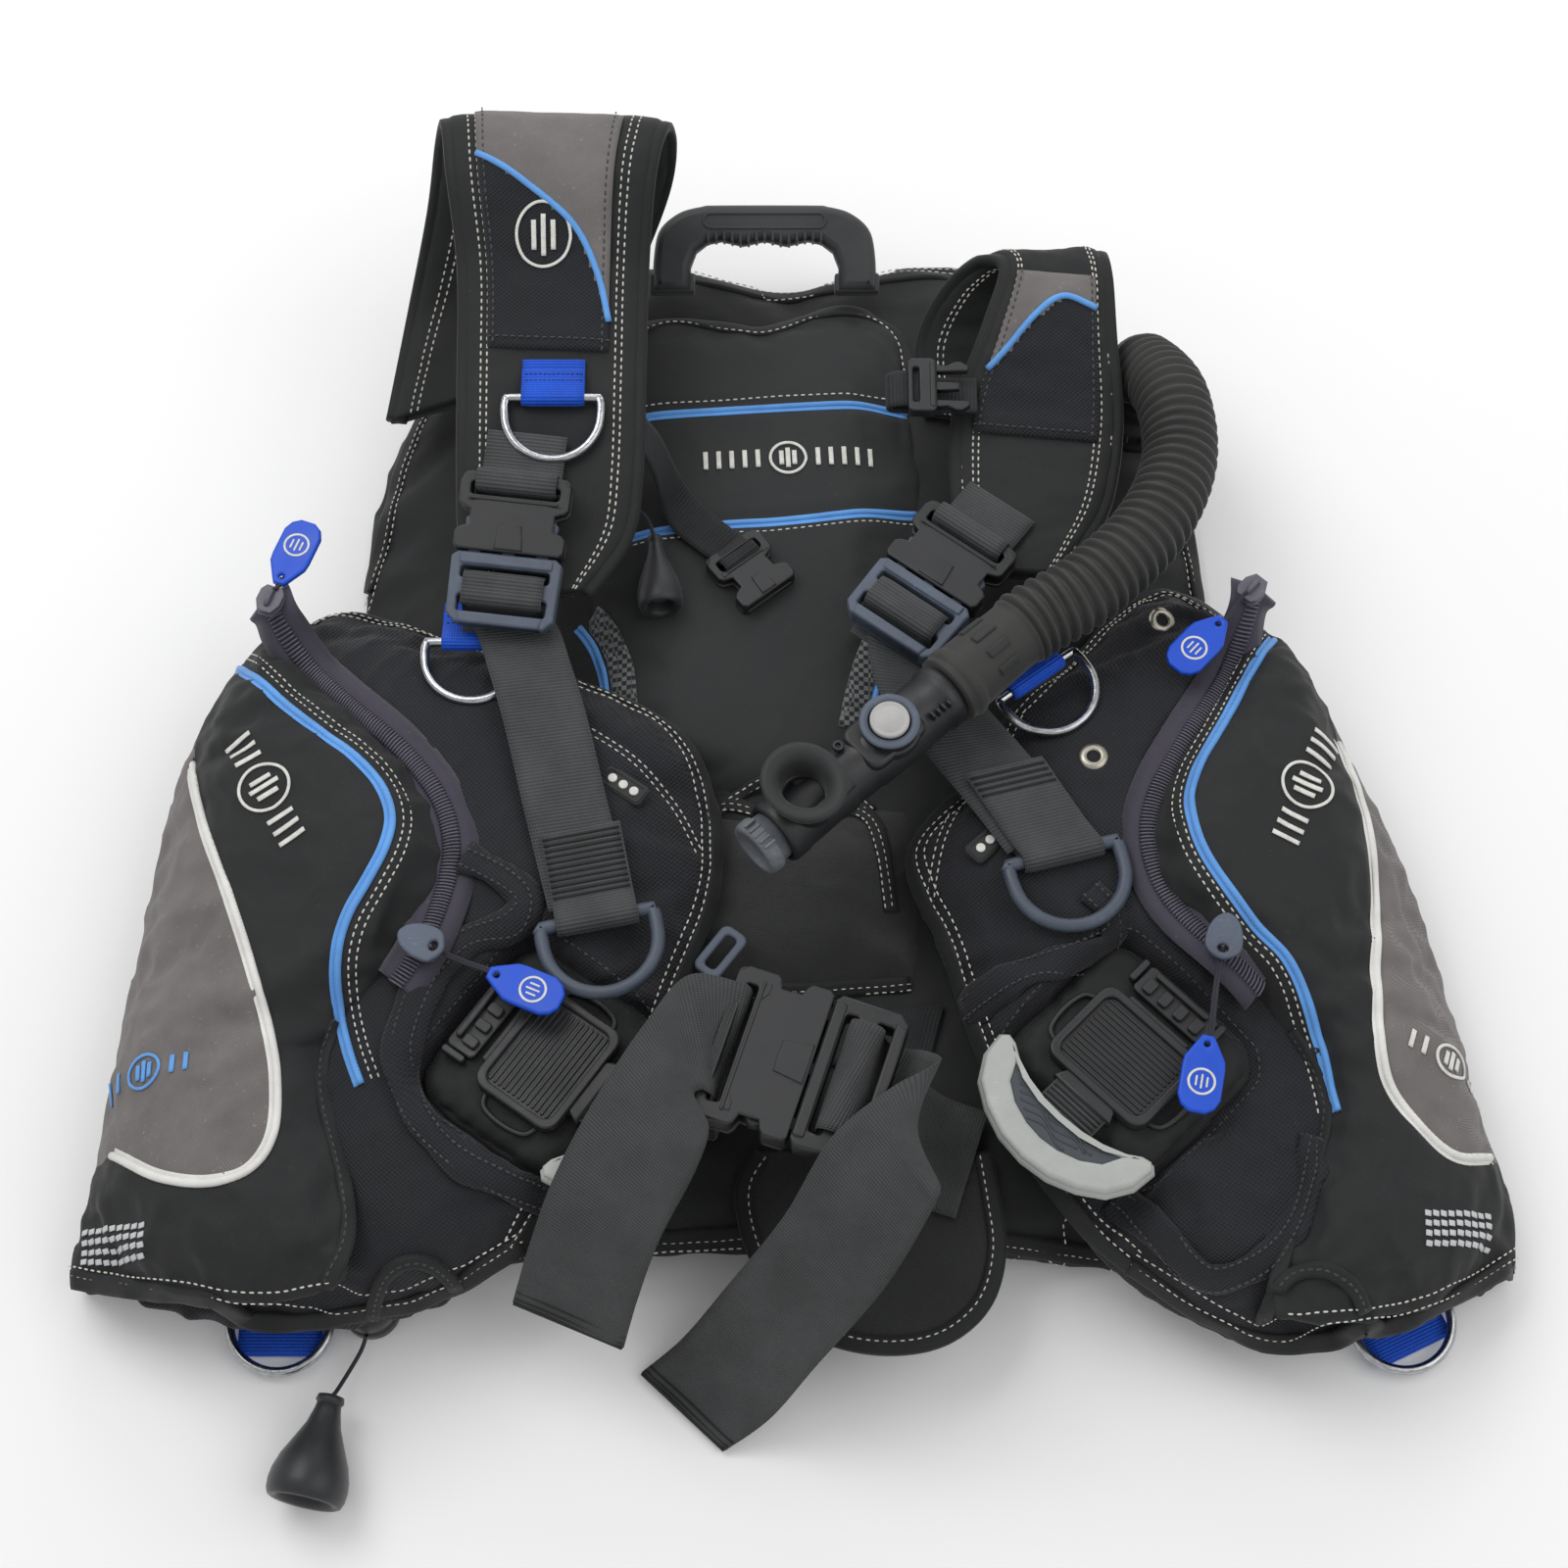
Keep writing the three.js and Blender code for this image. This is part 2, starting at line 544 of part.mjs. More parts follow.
// Front lobes and pockets --------------------------------------------------------------------------

const lobeFloor = (x, y) => {
  const far = Math.abs(x);
  const wrap = 292 - 20 * blend(-225, -190, y);
  return LOBE_FLOOR - 28 * blend(110, 160, far) - 26 * blend(wrap, wrap + 30, far);
};
const lobeTop = (x) => {
  const far = Math.abs(x);
  return LOBE_TOP - 22 * blend(170, 235, far) - 40 * blend(235, 330, far);
};

const RIGHT_OUTER = [[-262, 68], [-284, 30], [-305, -80], [-313, -170], [-322, -233]];
const LEFT_OUTER = [[250, 60], [275, 5], [298, -46], [318, -140], [330, -190], [332, -224]];

// Sleeve frames: origin at the cover plate's middle, +Y the way the pouch pulls out.
const SLEEVES = {
  right: { at: [-104, -147], pull: [0.81, -0.58, 0] },
  left: { at: [150, -146], pull: [-0.7, -0.71, 0] },
};
const POUCH = { width: 84, back: 45, front: 32, top: 81 };
const sleeveFrame = ({ at, pull }) => frameAt(spot(at[0], at[1], 0), v3(...pull));

function addLobes() {
  const outlines = {
    right: {
      far: [[-262, 68], [-234, 97], [-214, 104], [-154, 81], [-93, 49]],
      left: RIGHT_OUTER,
      right: [[-93, 49], [-50, 28], [-31, -10], [-29, -57], [-44, -103], [-62, -150], [-98, -203], [-113, -228]],
      near: [[-322, -233], [-270, -248], [-224, -257], [-160, -248], [-113, -228]],
    },
    left: {
      far: [[105, 35], [130, 62], [160, 100], [189, 119], [225, 92], [250, 60]],
      left: [[105, 35], [88, 0], [60, -28], [56, -50], [71, -86], [84, -130], [100, -175], [128, -215], [150, -234]],
      right: LEFT_OUTER,
      near: [[150, -234], [190, -258], [224, -266], [280, -254], [332, -224]],
    },
  };
  for (const [side, outline] of Object.entries(outlines)) {
    const high = (x, y, full) => lobeFloor(x, y) + 6 + (lobeTop(x) - lobeFloor(x, y) - 6) * full;
    const lobe = quilt(outline, lobeFloor, high, 12, 14);
    const across = POUCH.width / 2 + 4;
    const sleeve = block([-across, -POUCH.back - 4, SLEEVE_FLOOR], [across, 260, LOBE_TOP + 20]);
    add(`front_lobe_${side}`, cut(lobe, sleeve.applyMatrix4(sleeveFrame(SLEEVES[side]))), MATERIALS.weave);
  }
}

function addPockets() {
  const outlines = {
    right: {
      far: [[-262, 66], [-255, 74], [-247, 78]],
      left: RIGHT_OUTER.map(([x, y]) => [x, Math.min(y, 66)]),
      right: [[-247, 78], [-205, 32], [-163, -14], [-152, -42], [-160, -80], [-178, -110], [-204, -138], [-196, -178], [-184, -215], [-186, -248]],
      near: [[-322, -233], [-270, -247], [-224, -254], [-186, -248]],
    },
    left: {
      far: [[224, 84], [238, 76], [250, 60]],
      left: [[224, 84], [205, 40], [178, -4], [164, -34], [168, -64], [190, -96], [220, -122], [240, -150], [232, -190], [214, -228], [208, -258]],
      right: LEFT_OUTER,
      near: [[208, -258], [240, -263], [280, -252], [332, -224]],
    },
  };
  for (const [side, outline] of Object.entries(outlines)) {
    const low = (x) => lobeTop(x) + 2;
    const high = (x, y, full) => lobeTop(x) + 7 + 20 * full;
    const pocket = quilt(outline, low, high, 8, 14);
    add(`zip_pocket_${side}`, pocket, MATERIALS.fabric);
  }
}

// Weight pouch in its sleeve, with the cover plate, the ribbed webbing and the pull handle on it.
function addWeights() {
  for (const [side, sleeve] of Object.entries(SLEEVES)) {
    const frame = sleeveFrame(sleeve);
    const pouch = slab(
      roundedRectangle(POUCH.width, POUCH.back + POUCH.front, 12, -POUCH.back),
      SLEEVE_FLOOR + 1.5, POUCH.top,
    );
    add(`weight_pouch_${side}`, pouch, MATERIALS.fabric, frame);
    const plate = slab(roundedRectangle(56, 44, 8), POUCH.top + GAP, 90);
    const webbing = block([-15, 20, 84], [15, 52, 86.5]);
    const crescent = new THREE.Shape();
    crescent.moveTo(-46, 34);
    crescent.quadraticCurveTo(-42, 64, 0, 68);
    crescent.quadraticCurveTo(42, 64, 46, 34);
    crescent.quadraticCurveTo(44, 28, 34, 33);
    crescent.quadraticCurveTo(22, 42, 0, 42);
    crescent.quadraticCurveTo(-22, 42, -34, 33);
    crescent.quadraticCurveTo(-44, 28, -46, 34);
    add(`weight_handle_${side}`, join(plate, webbing, slab(crescent, 83.5, 95, 5)), MATERIALS.palePlastic, frame);
  }
}

// A zip slider with its pull: the slider's middle is the local origin, the tab lies towards `reach`.
const ZIP_PULLS = {
  upper_right: { at: [-243, 80, 93], reach: [8, 22] },
  lower_right: { at: [-160, -99, 102], reach: [42, -18] },
  upper_left: { at: [221, 84, 97], reach: [-24, -26] },
  lower_left: { at: [195, -97, 102], reach: [-12, -58] },
};

function addZipPulls() {
  for (const [name, { at, reach }] of Object.entries(ZIP_PULLS)) {
    const away = v3(reach[0], reach[1], 0);
    const tabStart = away.length() - 14;
    const slider = block([-6, -7, -2.6], [6, 7, 2.6]);
    const link = block([-1.6, 5, -0.9], [1.6, tabStart + 4, 0.9]);
    const tab = slab(roundedRectangle(19, 36, 8, tabStart), -1.4, 1.4);
    add(`zip_pull_${name}`, join(slider, link, tab), MATERIALS.blueWebbing, frameAt(spot(...at), away));
  }
}

// Waist --------------------------------------------------------------------------------------------

const WAIST_MOUTH = spot(12, -160, 108);
const WAIST_FRAME = frameAt(WAIST_MOUTH, v3(-0.95, 0.31, 0));

function addWaist() {
  add("waist_buckle_female", buckleFemale(WAIST_BUCKLE), MATERIALS.blackPlastic, WAIST_FRAME);
  add("waist_buckle_male", buckleMale(WAIST_BUCKLE), MATERIALS.blackPlastic, WAIST_FRAME);

  // Stations through the buckle are [y, z] in its own frame. The free tails are measured from its mouth.
  const half = WAIST_WEBBING / 2;
  const threaded = (stations, side) => stations.map(([y, z]) => v3(side * half, y, z).applyMatrix4(WAIST_FRAME));
  const tail = (stations) => stations.map(([x, y, z]) => WAIST_MOUTH.clone().add(v3(x, y, z)));

  const femaleRun = [
    [118, -58], [70, -58], [42, -57.4], [36.6, -52], [36, -40], [36, -20], [36, -4], [36, 4], [37.5, 9.4], [42, 10.4],
  ];
  const rightTailUpper = [[-54, 40, 12], [-72, 18, 12], [-92, -12, 5], [-110, -43, -8], [-122, -68, -30], [-131, -86, -58]];
  const rightTailLower = [[-51, -16, 11.5], [-44, -29, 12], [-50, -47, 6], [-65, -72, -9], [-75, -92, -32], [-82, -106, -60]];
  add("waist_strap_right", ribbon(
    threaded(femaleRun, 1).concat(tail(rightTailUpper)),
    threaded(femaleRun, -1).concat(tail(rightTailLower)),
    WEBBING_THICKNESS,
  ), MATERIALS.webbing);

  const maleRun = [
    [-76, -58], [-58, -57], [-46, -46], [-40.5, -27], [-37, -14.5], [-24, -12.6], [-11.5, -11.6], [-10, -5], [-10, 5],
    [-12.5, 9.2], [-21.5, 9.2], [-25, 5], [-25, -4], [-28, -9], [-35, -9.2], [-42, -5],
  ];
  const leftTailUpper = [[56, 6, 2], [50, -2, 10], [33, -12, 12], [8, -34, 13], [-12, -62, -8], [-37, -83, -44], [-57, -96, -82], [-76, -106, -104]];
  const leftTailLower = [[52, -48, -1], [54, -56, 6], [52, -60, 6], [50, -64, 2], [31, -91, -16], [2, -116, -52], [-18, -131, -86], [-38, -141, -105]];
  add("waist_strap_left", ribbon(
    threaded(maleRun, 1).concat(tail(leftTailUpper)),
    threaded(maleRun, -1).concat(tail(leftTailLower)),
    WEBBING_THICKNESS,
  ), MATERIALS.webbing);

  const flap = new THREE.Shape();
  flap.moveTo(-12, -176);
  flap.quadraticCurveTo(-26, -200, -12, -228);
  flap.quadraticCurveTo(8, -266, 48, -267);
  flap.quadraticCurveTo(88, -262, 97, -222);
  flap.lineTo(92, -176);
  flap.closePath();
  const cloth = slab(flap, 42, 47, 6).scale(STRETCH_X, STRETCH_Y, 1);
  add("cummerbund_flap", cloth, MATERIALS.fabric);
}

// Inflator -----------------------------------------------------------------------------------------

const INFLATOR_START = spot(74, 21, 114);
const INFLATOR_AXIS = v3(-0.74, -0.67, 0).normalize();
const alongInflator = (distance, z = 0) => INFLATOR_START.clone().addScaledVector(INFLATOR_AXIS, distance).setZ(114 + z);

function addInflator() {
  const radius = HOSE_DIAMETER / 2;
  const elbowFoot = spot(180, 222, 32);
  const socket = elbowFoot.clone().setZ(50);
  const elbow = join(roundRod(elbowFoot, socket, 24, 18), roundRod(elbowFoot.clone().setZ(48), elbowFoot.clone().setZ(62), 20, 18));
  add("hose_elbow", elbow, MATERIALS.rubber);
  const route = [
    elbowFoot.clone().setZ(62.8), elbowFoot.clone().setZ(74), spot(189, 190, 97), spot(189, 148, 106),
    spot(172, 108, 112), spot(142, 76, 114), alongInflator(-50), alongInflator(-1.4),
  ];
  add("inflator_hose", cordAlong(route, HOSE_DIAMETER, 20), MATERIALS.rubber);

  const bodyRadius = 15;
  const boss = { at: 36, radius: 13, top: 19 };
  const spout = { at: 88, radius: 13, top: 12 };
  const body = join(
    roundRod(alongInflator(0), alongInflator(106), bodyRadius),
    roundRod(alongInflator(boss.at), alongInflator(boss.at, boss.top), boss.radius),
    roundRod(alongInflator(spout.at), alongInflator(spout.at, spout.top + 4), spout.radius),
  );
  add("inflator_body", cut(
    body,
    roundRod(alongInflator(boss.at, boss.top - 6), alongInflator(boss.at, boss.top + 5), 9.6),
    roundRod(alongInflator(spout.at, 2), alongInflator(spout.at, spout.top + 9), 9),
    roundRod(alongInflator(95), alongInflator(110), 12.4),
  ), MATERIALS.blackPlastic);
  const button = roundRod(alongInflator(boss.at, boss.top - 6 + BUTTON_TRAVEL + 0.2), alongInflator(boss.at, boss.top + 3), 9);
  add("power_button", button, MATERIALS.palePlastic);
  const plunger = roundRod(alongInflator(95 + DEFLATE_TRAVEL + 0.3), alongInflator(118), 11.9);
  add("deflate_button", plunger, MATERIALS.greyPlastic);

  const lip = new THREE.Shape().absellipse(0, 0, 20, 18, 0, Math.PI * 2);
  lip.holes.push(new THREE.Path().absellipse(0, 0, 11, 9.5, 0, Math.PI * 2, true));
  const mouthpiece = slab(lip, 0, 14, 9).translate(0, 0, 114 + spout.top + 4 + GAP);
  const turn = frameAt(alongInflator(spout.at).setZ(0), INFLATOR_AXIS);
  add("mouthpiece", mouthpiece, MATERIALS.rubber, turn);
}

// Dump valves --------------------------------------------------------------------------------------

// A pear-shaped pull knob on its own Y axis: narrow where the cord enters, hollow at its wide end.
function pullKnob(length, widest) {
  const profile = [
    [0, 0], [widest * 0.28, 0], [widest * 0.42, length * 0.25], [widest * 0.86, length * 0.62],
    [widest, length * 0.82], [widest * 0.88, length], [widest * 0.6, length], [widest * 0.5, length * 0.8],
    [0, length * 0.8],
  ].map(([r, y]) => new THREE.Vector2(r, y));
  return new THREE.LatheGeometry(profile, 12);
}

function addDumpValves() {
  const shoulderKnobTop = spot(-63, 128, 67);
  const shoulderPull = v3(0.1, -1, 0).normalize();
  const shoulderValve = spot(-134, 152, 37);
  add("shoulder_dump_valve", roundRod(shoulderValve, shoulderValve.clone().setZ(57), 17, 16), MATERIALS.blackPlastic);
  add("shoulder_dump_knob", pullKnob(SHOULDER_KNOB_LENGTH, 11), MATERIALS.blackPlastic, frameAt(shoulderKnobTop, shoulderPull));
  const cordStart = shoulderValve.clone().add(v3(17.4, 0, 20));
  const cordEnd = shoulderKnobTop.clone().addScaledVector(shoulderPull, -2 * GAP);
  add("shoulder_dump_cord", cordAlong([
    cordStart, cordStart.clone().add(v3(9, 1, 6)), spot(-86, 150, 64), spot(-69, 142, 68), cordEnd,
  ], CORD_DIAMETER, 14), MATERIALS.cord);

  const hemKnobTop = spot(-201, -282, 19);
  const hemPull = v3(-0.2, -1, 0).normalize();
  const hemValve = spot(-187, -238, 3);
  add("hem_dump_valve", roundRod(hemValve, hemValve.clone().setZ(24), 13, 16), MATERIALS.blackPlastic);
  add("hem_dump_knob", pullKnob(HEM_KNOB_LENGTH, 18), MATERIALS.blackPlastic, frameAt(hemKnobTop, hemPull));
  const hemEnd = hemKnobTop.clone().addScaledVector(hemPull, -2 * GAP);
  add("hem_dump_cord", cordAlong([
    hemValve.clone().add(v3(-0.5, -14, 12)), hemValve.clone().add(v3(-4, -20, 4)), hemEnd.clone().add(v3(2, 7, -9)), hemEnd,
  ], CORD_DIAMETER, 10), MATERIALS.cord);
}

addBack();
addBackpack();
addCarryHandle();
addShoulderStraps();
addShoulderBuckles();
addShoulderWebbing();
addRings();
addSternumStrap();
addLobes();
addPockets();
addWeights();
addZipPulls();
addWaist();
addInflator();
addDumpValves();

export default vest;
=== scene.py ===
import math

import bpy
import numpy as np
from mathutils import Matrix, Vector, noise
from mathutils.bvhtree import BVHTree
from mathutils.kdtree import KDTree


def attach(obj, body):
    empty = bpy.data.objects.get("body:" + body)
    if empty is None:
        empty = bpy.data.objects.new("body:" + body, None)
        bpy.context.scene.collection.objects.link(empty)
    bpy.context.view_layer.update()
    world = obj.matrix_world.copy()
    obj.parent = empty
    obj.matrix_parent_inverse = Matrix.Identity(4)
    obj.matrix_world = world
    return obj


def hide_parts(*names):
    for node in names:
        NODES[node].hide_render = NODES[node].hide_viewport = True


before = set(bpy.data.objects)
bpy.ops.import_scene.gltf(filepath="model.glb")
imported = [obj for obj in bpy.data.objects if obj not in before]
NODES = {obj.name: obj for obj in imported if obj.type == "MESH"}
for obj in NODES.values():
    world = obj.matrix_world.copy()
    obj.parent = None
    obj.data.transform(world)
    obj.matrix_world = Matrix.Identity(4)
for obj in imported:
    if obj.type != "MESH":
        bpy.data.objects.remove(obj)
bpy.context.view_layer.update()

# Outlines are in millimetres as part.mjs draws them; SHIFT moves them onto the part's origin.
MM = 0.001
SHIFT = Vector((-5.0, -11.3, 0.0))


def at(x, y, z=0.0):
    """A drawn point in the part's frame, in metres."""
    return (Vector((x, y, z)) + SHIFT) * MM


def srgb(r, g, b):
    return tuple((c / 255) ** 2.2 for c in (r, g, b))


# Camera and light ---------------------------------------------------------------------------------

ELEVATION = math.radians(65)
DISTANCE = 1.375
HALF_VIEW = 0.2688  # half the picture's width at the aim, over the distance
SENSOR = 36
AIM = at(0, 0, 60)
camera_data = bpy.data.cameras.new("camera")
camera_data.sensor_width = SENSOR
camera_data.lens = SENSOR / 2 / HALF_VIEW
camera = bpy.data.objects.new("camera", camera_data)
bpy.context.scene.collection.objects.link(camera)
camera.location = AIM + Vector((0, -math.cos(ELEVATION), math.sin(ELEVATION))) * DISTANCE
camera.rotation_euler = (AIM - camera.location).to_track_quat("-Z", "Y").to_euler()
bpy.context.scene.camera = camera


def area_light(name, place, size, power):
    """A soft light aimed at the origin: place and size in metres, power in watts."""
    data = bpy.data.lights.new(name, "AREA")
    data.size = size
    data.energy = power
    obj = bpy.data.objects.new(name, data)
    bpy.context.scene.collection.objects.link(obj)
    obj.location = place
    obj.rotation_euler = (-Vector(place)).to_track_quat("-Z", "Y").to_euler()


area_light("key", (-0.9, 0.7, 1.9), 1.3, 17)
area_light("fill", (1.3, -0.3, 1.7), 1.6, 9)
area_light("back", (0.2, 1.8, 1.1), 1.2, 7)
world = bpy.data.worlds.new("studio")
bpy.context.scene.world = world
world.use_nodes = True
background = world.node_tree.nodes["Background"]
background.inputs["Color"].default_value = (1.0, 1.0, 1.0, 1.0)
background.inputs["Strength"].default_value = 0.62
bpy.context.scene.view_settings.view_transform = "Standard"

# Materials ----------------------------------------------------------------------------------------


class Look:
    """A material under construction: a few short ways of wiring nodes."""

    def __init__(self, name, colour, rough, **sockets):
        self.mat = bpy.data.materials.new(name)
        self.mat.use_nodes = True
        self.tree = self.mat.node_tree
        self.shader = self.tree.nodes["Principled BSDF"]
        self.colour = colour
        self.shader.inputs["Base Color"].default_value = (*colour, 1)
        self.shader.inputs["Roughness"].default_value = rough
        for key, value in sockets.items():
            self.shader.inputs[key.replace("_", " ")].default_value = value
        self.coord = self.tree.nodes.new("ShaderNodeTexCoord")

    def put(self, kind, **values):
        node = self.tree.nodes.new(kind)
        for key, value in values.items():
            if key in node.inputs:
                node.inputs[key].default_value = value
            else:
                setattr(node, key, value)
        return node

    def wire(self, a, b):
        self.tree.links.new(a, b)

    def math(self, operation, a, b=0.0):
        node = self.put("ShaderNodeMath", operation=operation)
        for k, value in enumerate((a, b)):
            if isinstance(value, (int, float)):
                node.inputs[k].default_value = value
            else:
                self.wire(value, node.inputs[k])
        return node.outputs[0]

    def noise(self, scale, detail=4.0, rough=0.6, source=None):
        node = self.put("ShaderNodeTexNoise", Scale=scale, Detail=detail, Roughness=rough)
        self.wire(source or self.coord.outputs["Object"], node.inputs["Vector"])
        return node.outputs["Fac"]

    def ramp(self, factor, *stops):
        node = self.put("ShaderNodeValToRGB")
        ramp = node.color_ramp
        while len(ramp.elements) < len(stops):
            ramp.elements.new(0.5)
        for element, (place, colour) in zip(ramp.elements, stops):
            element.position = place
            element.color = (*colour, 1) if isinstance(colour, tuple) else (colour, colour, colour, 1)
        self.wire(factor, node.inputs["Fac"])
        return node.outputs["Color"]

    def wave(self, value, pitch):
        return self.math("SINE", self.math("MULTIPLY", value, 2 * math.pi / pitch))

    def bump(self, height, strength, distance):
        node = self.put("ShaderNodeBump", Strength=strength, Distance=distance)
        self.wire(height, node.inputs["Height"])
        if self.shader.inputs["Normal"].is_linked:
            self.wire(self.shader.inputs["Normal"].links[0].from_socket, node.inputs["Normal"])
        self.wire(node.outputs[0], self.shader.inputs["Normal"])

    def shade(self, factor, low=0.7, high=1.35, lo=0.3, hi=0.7):
        """Varies the base colour between two multiples of it, along with a factor from 0 to 1."""
        scaled = [tuple(min(c * k, 1) for c in self.colour) for k in (low, high)]
        self.wire(self.ramp(factor, (lo, scaled[0]), (hi, scaled[1])), self.shader.inputs["Base Color"])

    def roughen(self, factor, low, high):
        self.wire(self.ramp(factor, (0.3, low), (0.7, high)), self.shader.inputs["Roughness"])


def woven(name, colour, pitch, rough=0.82, depth=0.5, sheen=0.25, dust=0.10):
    """Woven nylon: crossed yarns, uneven dye and faint dust."""
    look = Look(name, colour, rough, Sheen_Weight=sheen, Sheen_Roughness=0.45, Specular_IOR_Level=0.35)
    split = look.put("ShaderNodeSeparateXYZ")
    look.wire(look.coord.outputs["Object"], split.inputs[0])
    x, y, z = split.outputs
    across = look.math("ADD", x, look.math("MULTIPLY", z, 0.31))
    along = look.math("ADD", y, look.math("MULTIPLY", z, 0.83))
    yarns = look.math("MULTIPLY", look.wave(across, pitch), look.wave(along, pitch))
    yarns = look.math("MULTIPLY_ADD", yarns, 0.5)
    yarns.node.inputs[2].default_value = 0.5
    blotch = look.noise(26, 5, 0.65)
    lint = look.noise(420, 2, 0.5)
    mixed = look.math("ADD", look.math("MULTIPLY", yarns, 0.42), look.math("MULTIPLY", blotch, 0.58))
    mixed = look.math("ADD", mixed, look.math("MULTIPLY", look.math("GREATER_THAN", lint, 0.70), dust * 3))
    look.shade(mixed, 0.62, 1.55, 0.25, 0.8)
    look.roughen(blotch, rough - 0.08, min(rough + 0.12, 1))
    look.bump(yarns, depth, 0.0005)
    look.bump(look.noise(60, 4, 0.6), 0.35, 0.0016)
    return look.mat


def webbing(name, colour, rib=0.0021, rough=0.72):
    """Flat nylon webbing: ribs across it and fine yarns along it, from the strip's own run."""
    look = Look(name, colour, rough, Sheen_Weight=0.07, Sheen_Roughness=0.4, Specular_IOR_Level=0.4)
    run = look.put("ShaderNodeAttribute", attribute_name="run")
    split = look.put("ShaderNodeSeparateXYZ")
    look.wire(run.outputs["Vector"], split.inputs[0])
    ribs = look.wave(split.outputs[1], rib)
    yarns = look.wave(split.outputs[0], 0.0012)
    mixed = look.math("ADD", look.math("MULTIPLY", ribs, 0.22), look.math("MULTIPLY", yarns, 0.12))
    mixed = look.math("ADD", mixed, look.noise(34, 5, 0.65))
    look.shade(mixed, 0.66, 1.5, 0.15, 0.85)
    look.roughen(look.noise(30), rough - 0.08, rough + 0.12)
    look.bump(look.math("ADD", ribs, look.math("MULTIPLY", yarns, 0.5)), 0.45, 0.0004)
    return look.mat


def moulded(name, colour, rough=0.42, grain=0.12, scuff=0.25, spread=0.3, metallic=0.0):
    """Injection-moulded plastic: a fine spark-eroded grain, with scuffs that are paler and rougher."""
    look = Look(name, colour, rough, Metallic=metallic)
    patches = look.noise(38, 6, 0.7)
    streak = look.put("ShaderNodeMapping")
    look.wire(look.coord.outputs["Object"], streak.inputs["Vector"])
    streak.inputs["Scale"].default_value = (1.0, 7.0, 3.0)
    streak.inputs["Rotation"].default_value = (0.3, 0.2, 0.7)
    lines = look.noise(150, 3, 0.8, streak.outputs[0])
    worn = look.math("GREATER_THAN", look.math("ADD", look.math("MULTIPLY", lines, 0.6),
                                               look.math("MULTIPLY", patches, 0.4)), 0.60)
    mixed = look.math("ADD", patches, look.math("MULTIPLY", worn, scuff))
    look.shade(mixed, 1 - spread, 1 + spread, 0.3, 0.9)
    look.roughen(mixed, max(rough - 0.08, 0.05), min(rough + 0.22, 1))
    look.bump(look.noise(1800, 2, 0.5), grain, 0.0003)
    look.bump(lines, 0.05, 0.0004)
    return look.mat


def rubber(name, colour, rough=0.6):
    look = Look(name, colour, rough, Specular_IOR_Level=0.4, Sheen_Weight=0.12)
    bloom = look.noise(24, 6, 0.7)
    look.shade(bloom, 0.75, 1.6, 0.3, 0.8)
    look.roughen(bloom, rough - 0.1, rough + 0.15)
    look.bump(look.noise(900, 3, 0.6), 0.14, 0.0004)
    return look.mat


def thread(name, colour):
    """Twisted sewing thread or embroidery: fine slanting strands."""
    look = Look(name, colour, 0.6, Sheen_Weight=0.3)
    split = look.put("ShaderNodeSeparateXYZ")
    look.wire(look.coord.outputs["Object"], split.inputs[0])
    slant = look.math("ADD", split.outputs[0], split.outputs[1])
    strands = look.wave(slant, 0.0007)
    mixed = look.math("ADD", look.math("MULTIPLY", strands, 0.25), look.noise(300))
    look.shade(mixed, 0.72, 1.1, 0.2, 0.8)
    look.bump(strands, 0.4, 0.0002)
    return look.mat


def steel(name):
    look = Look(name, (0.50, 0.51, 0.53), 0.24, Metallic=1.0)
    mapping = look.put("ShaderNodeMapping")
    look.wire(look.coord.outputs["Object"], mapping.inputs["Vector"])
    mapping.inputs["Scale"].default_value = (1.0, 1.0, 12.0)
    brushed = look.noise(260, 3, 0.7, mapping.outputs[0])
    look.shade(brushed, 0.55, 1.25, 0.3, 0.7)
    look.roughen(look.noise(55, 5), 0.12, 0.36)
    look.bump(brushed, 0.06, 0.0002)
    return look.mat


def checkered(name):
    """Open spacer mesh: black with small pale cells."""
    look = Look(name, srgb(40, 41, 42), 0.7, Sheen_Weight=0.3)
    tiles = look.put("ShaderNodeTexChecker", Scale=420.0)
    tiles.inputs["Color1"].default_value = (*srgb(22, 22, 23), 1)
    tiles.inputs["Color2"].default_value = (*srgb(120, 122, 124), 1)
    look.wire(look.coord.outputs["Object"], tiles.inputs["Vector"])
    dim = look.put("ShaderNodeMix", data_type="RGBA", blend_type="MULTIPLY", Factor=0.7)
    look.wire(tiles.outputs["Color"], dim.inputs["A"])
    look.wire(look.ramp(look.noise(120), (0.35, 0.35), (0.65, 1.0)), dim.inputs["B"])
    look.wire(dim.outputs["Result"], look.shader.inputs["Base Color"])
    look.bump(tiles.outputs["Fac"], 0.6, 0.0006)
    return look.mat


def fuzzy(name, colour):
    """Hook-and-loop pile."""
    look = Look(name, colour, 0.95, Sheen_Weight=0.16, Sheen_Roughness=0.6)
    pile = look.noise(1500, 4, 0.8)
    look.shade(look.math("ADD", look.math("MULTIPLY", pile, 0.7), look.math("MULTIPLY", look.noise(30), 0.3)), 0.4,
               2.2, 0.35, 0.7)
    look.bump(pile, 0.9, 0.0012)
    return look.mat


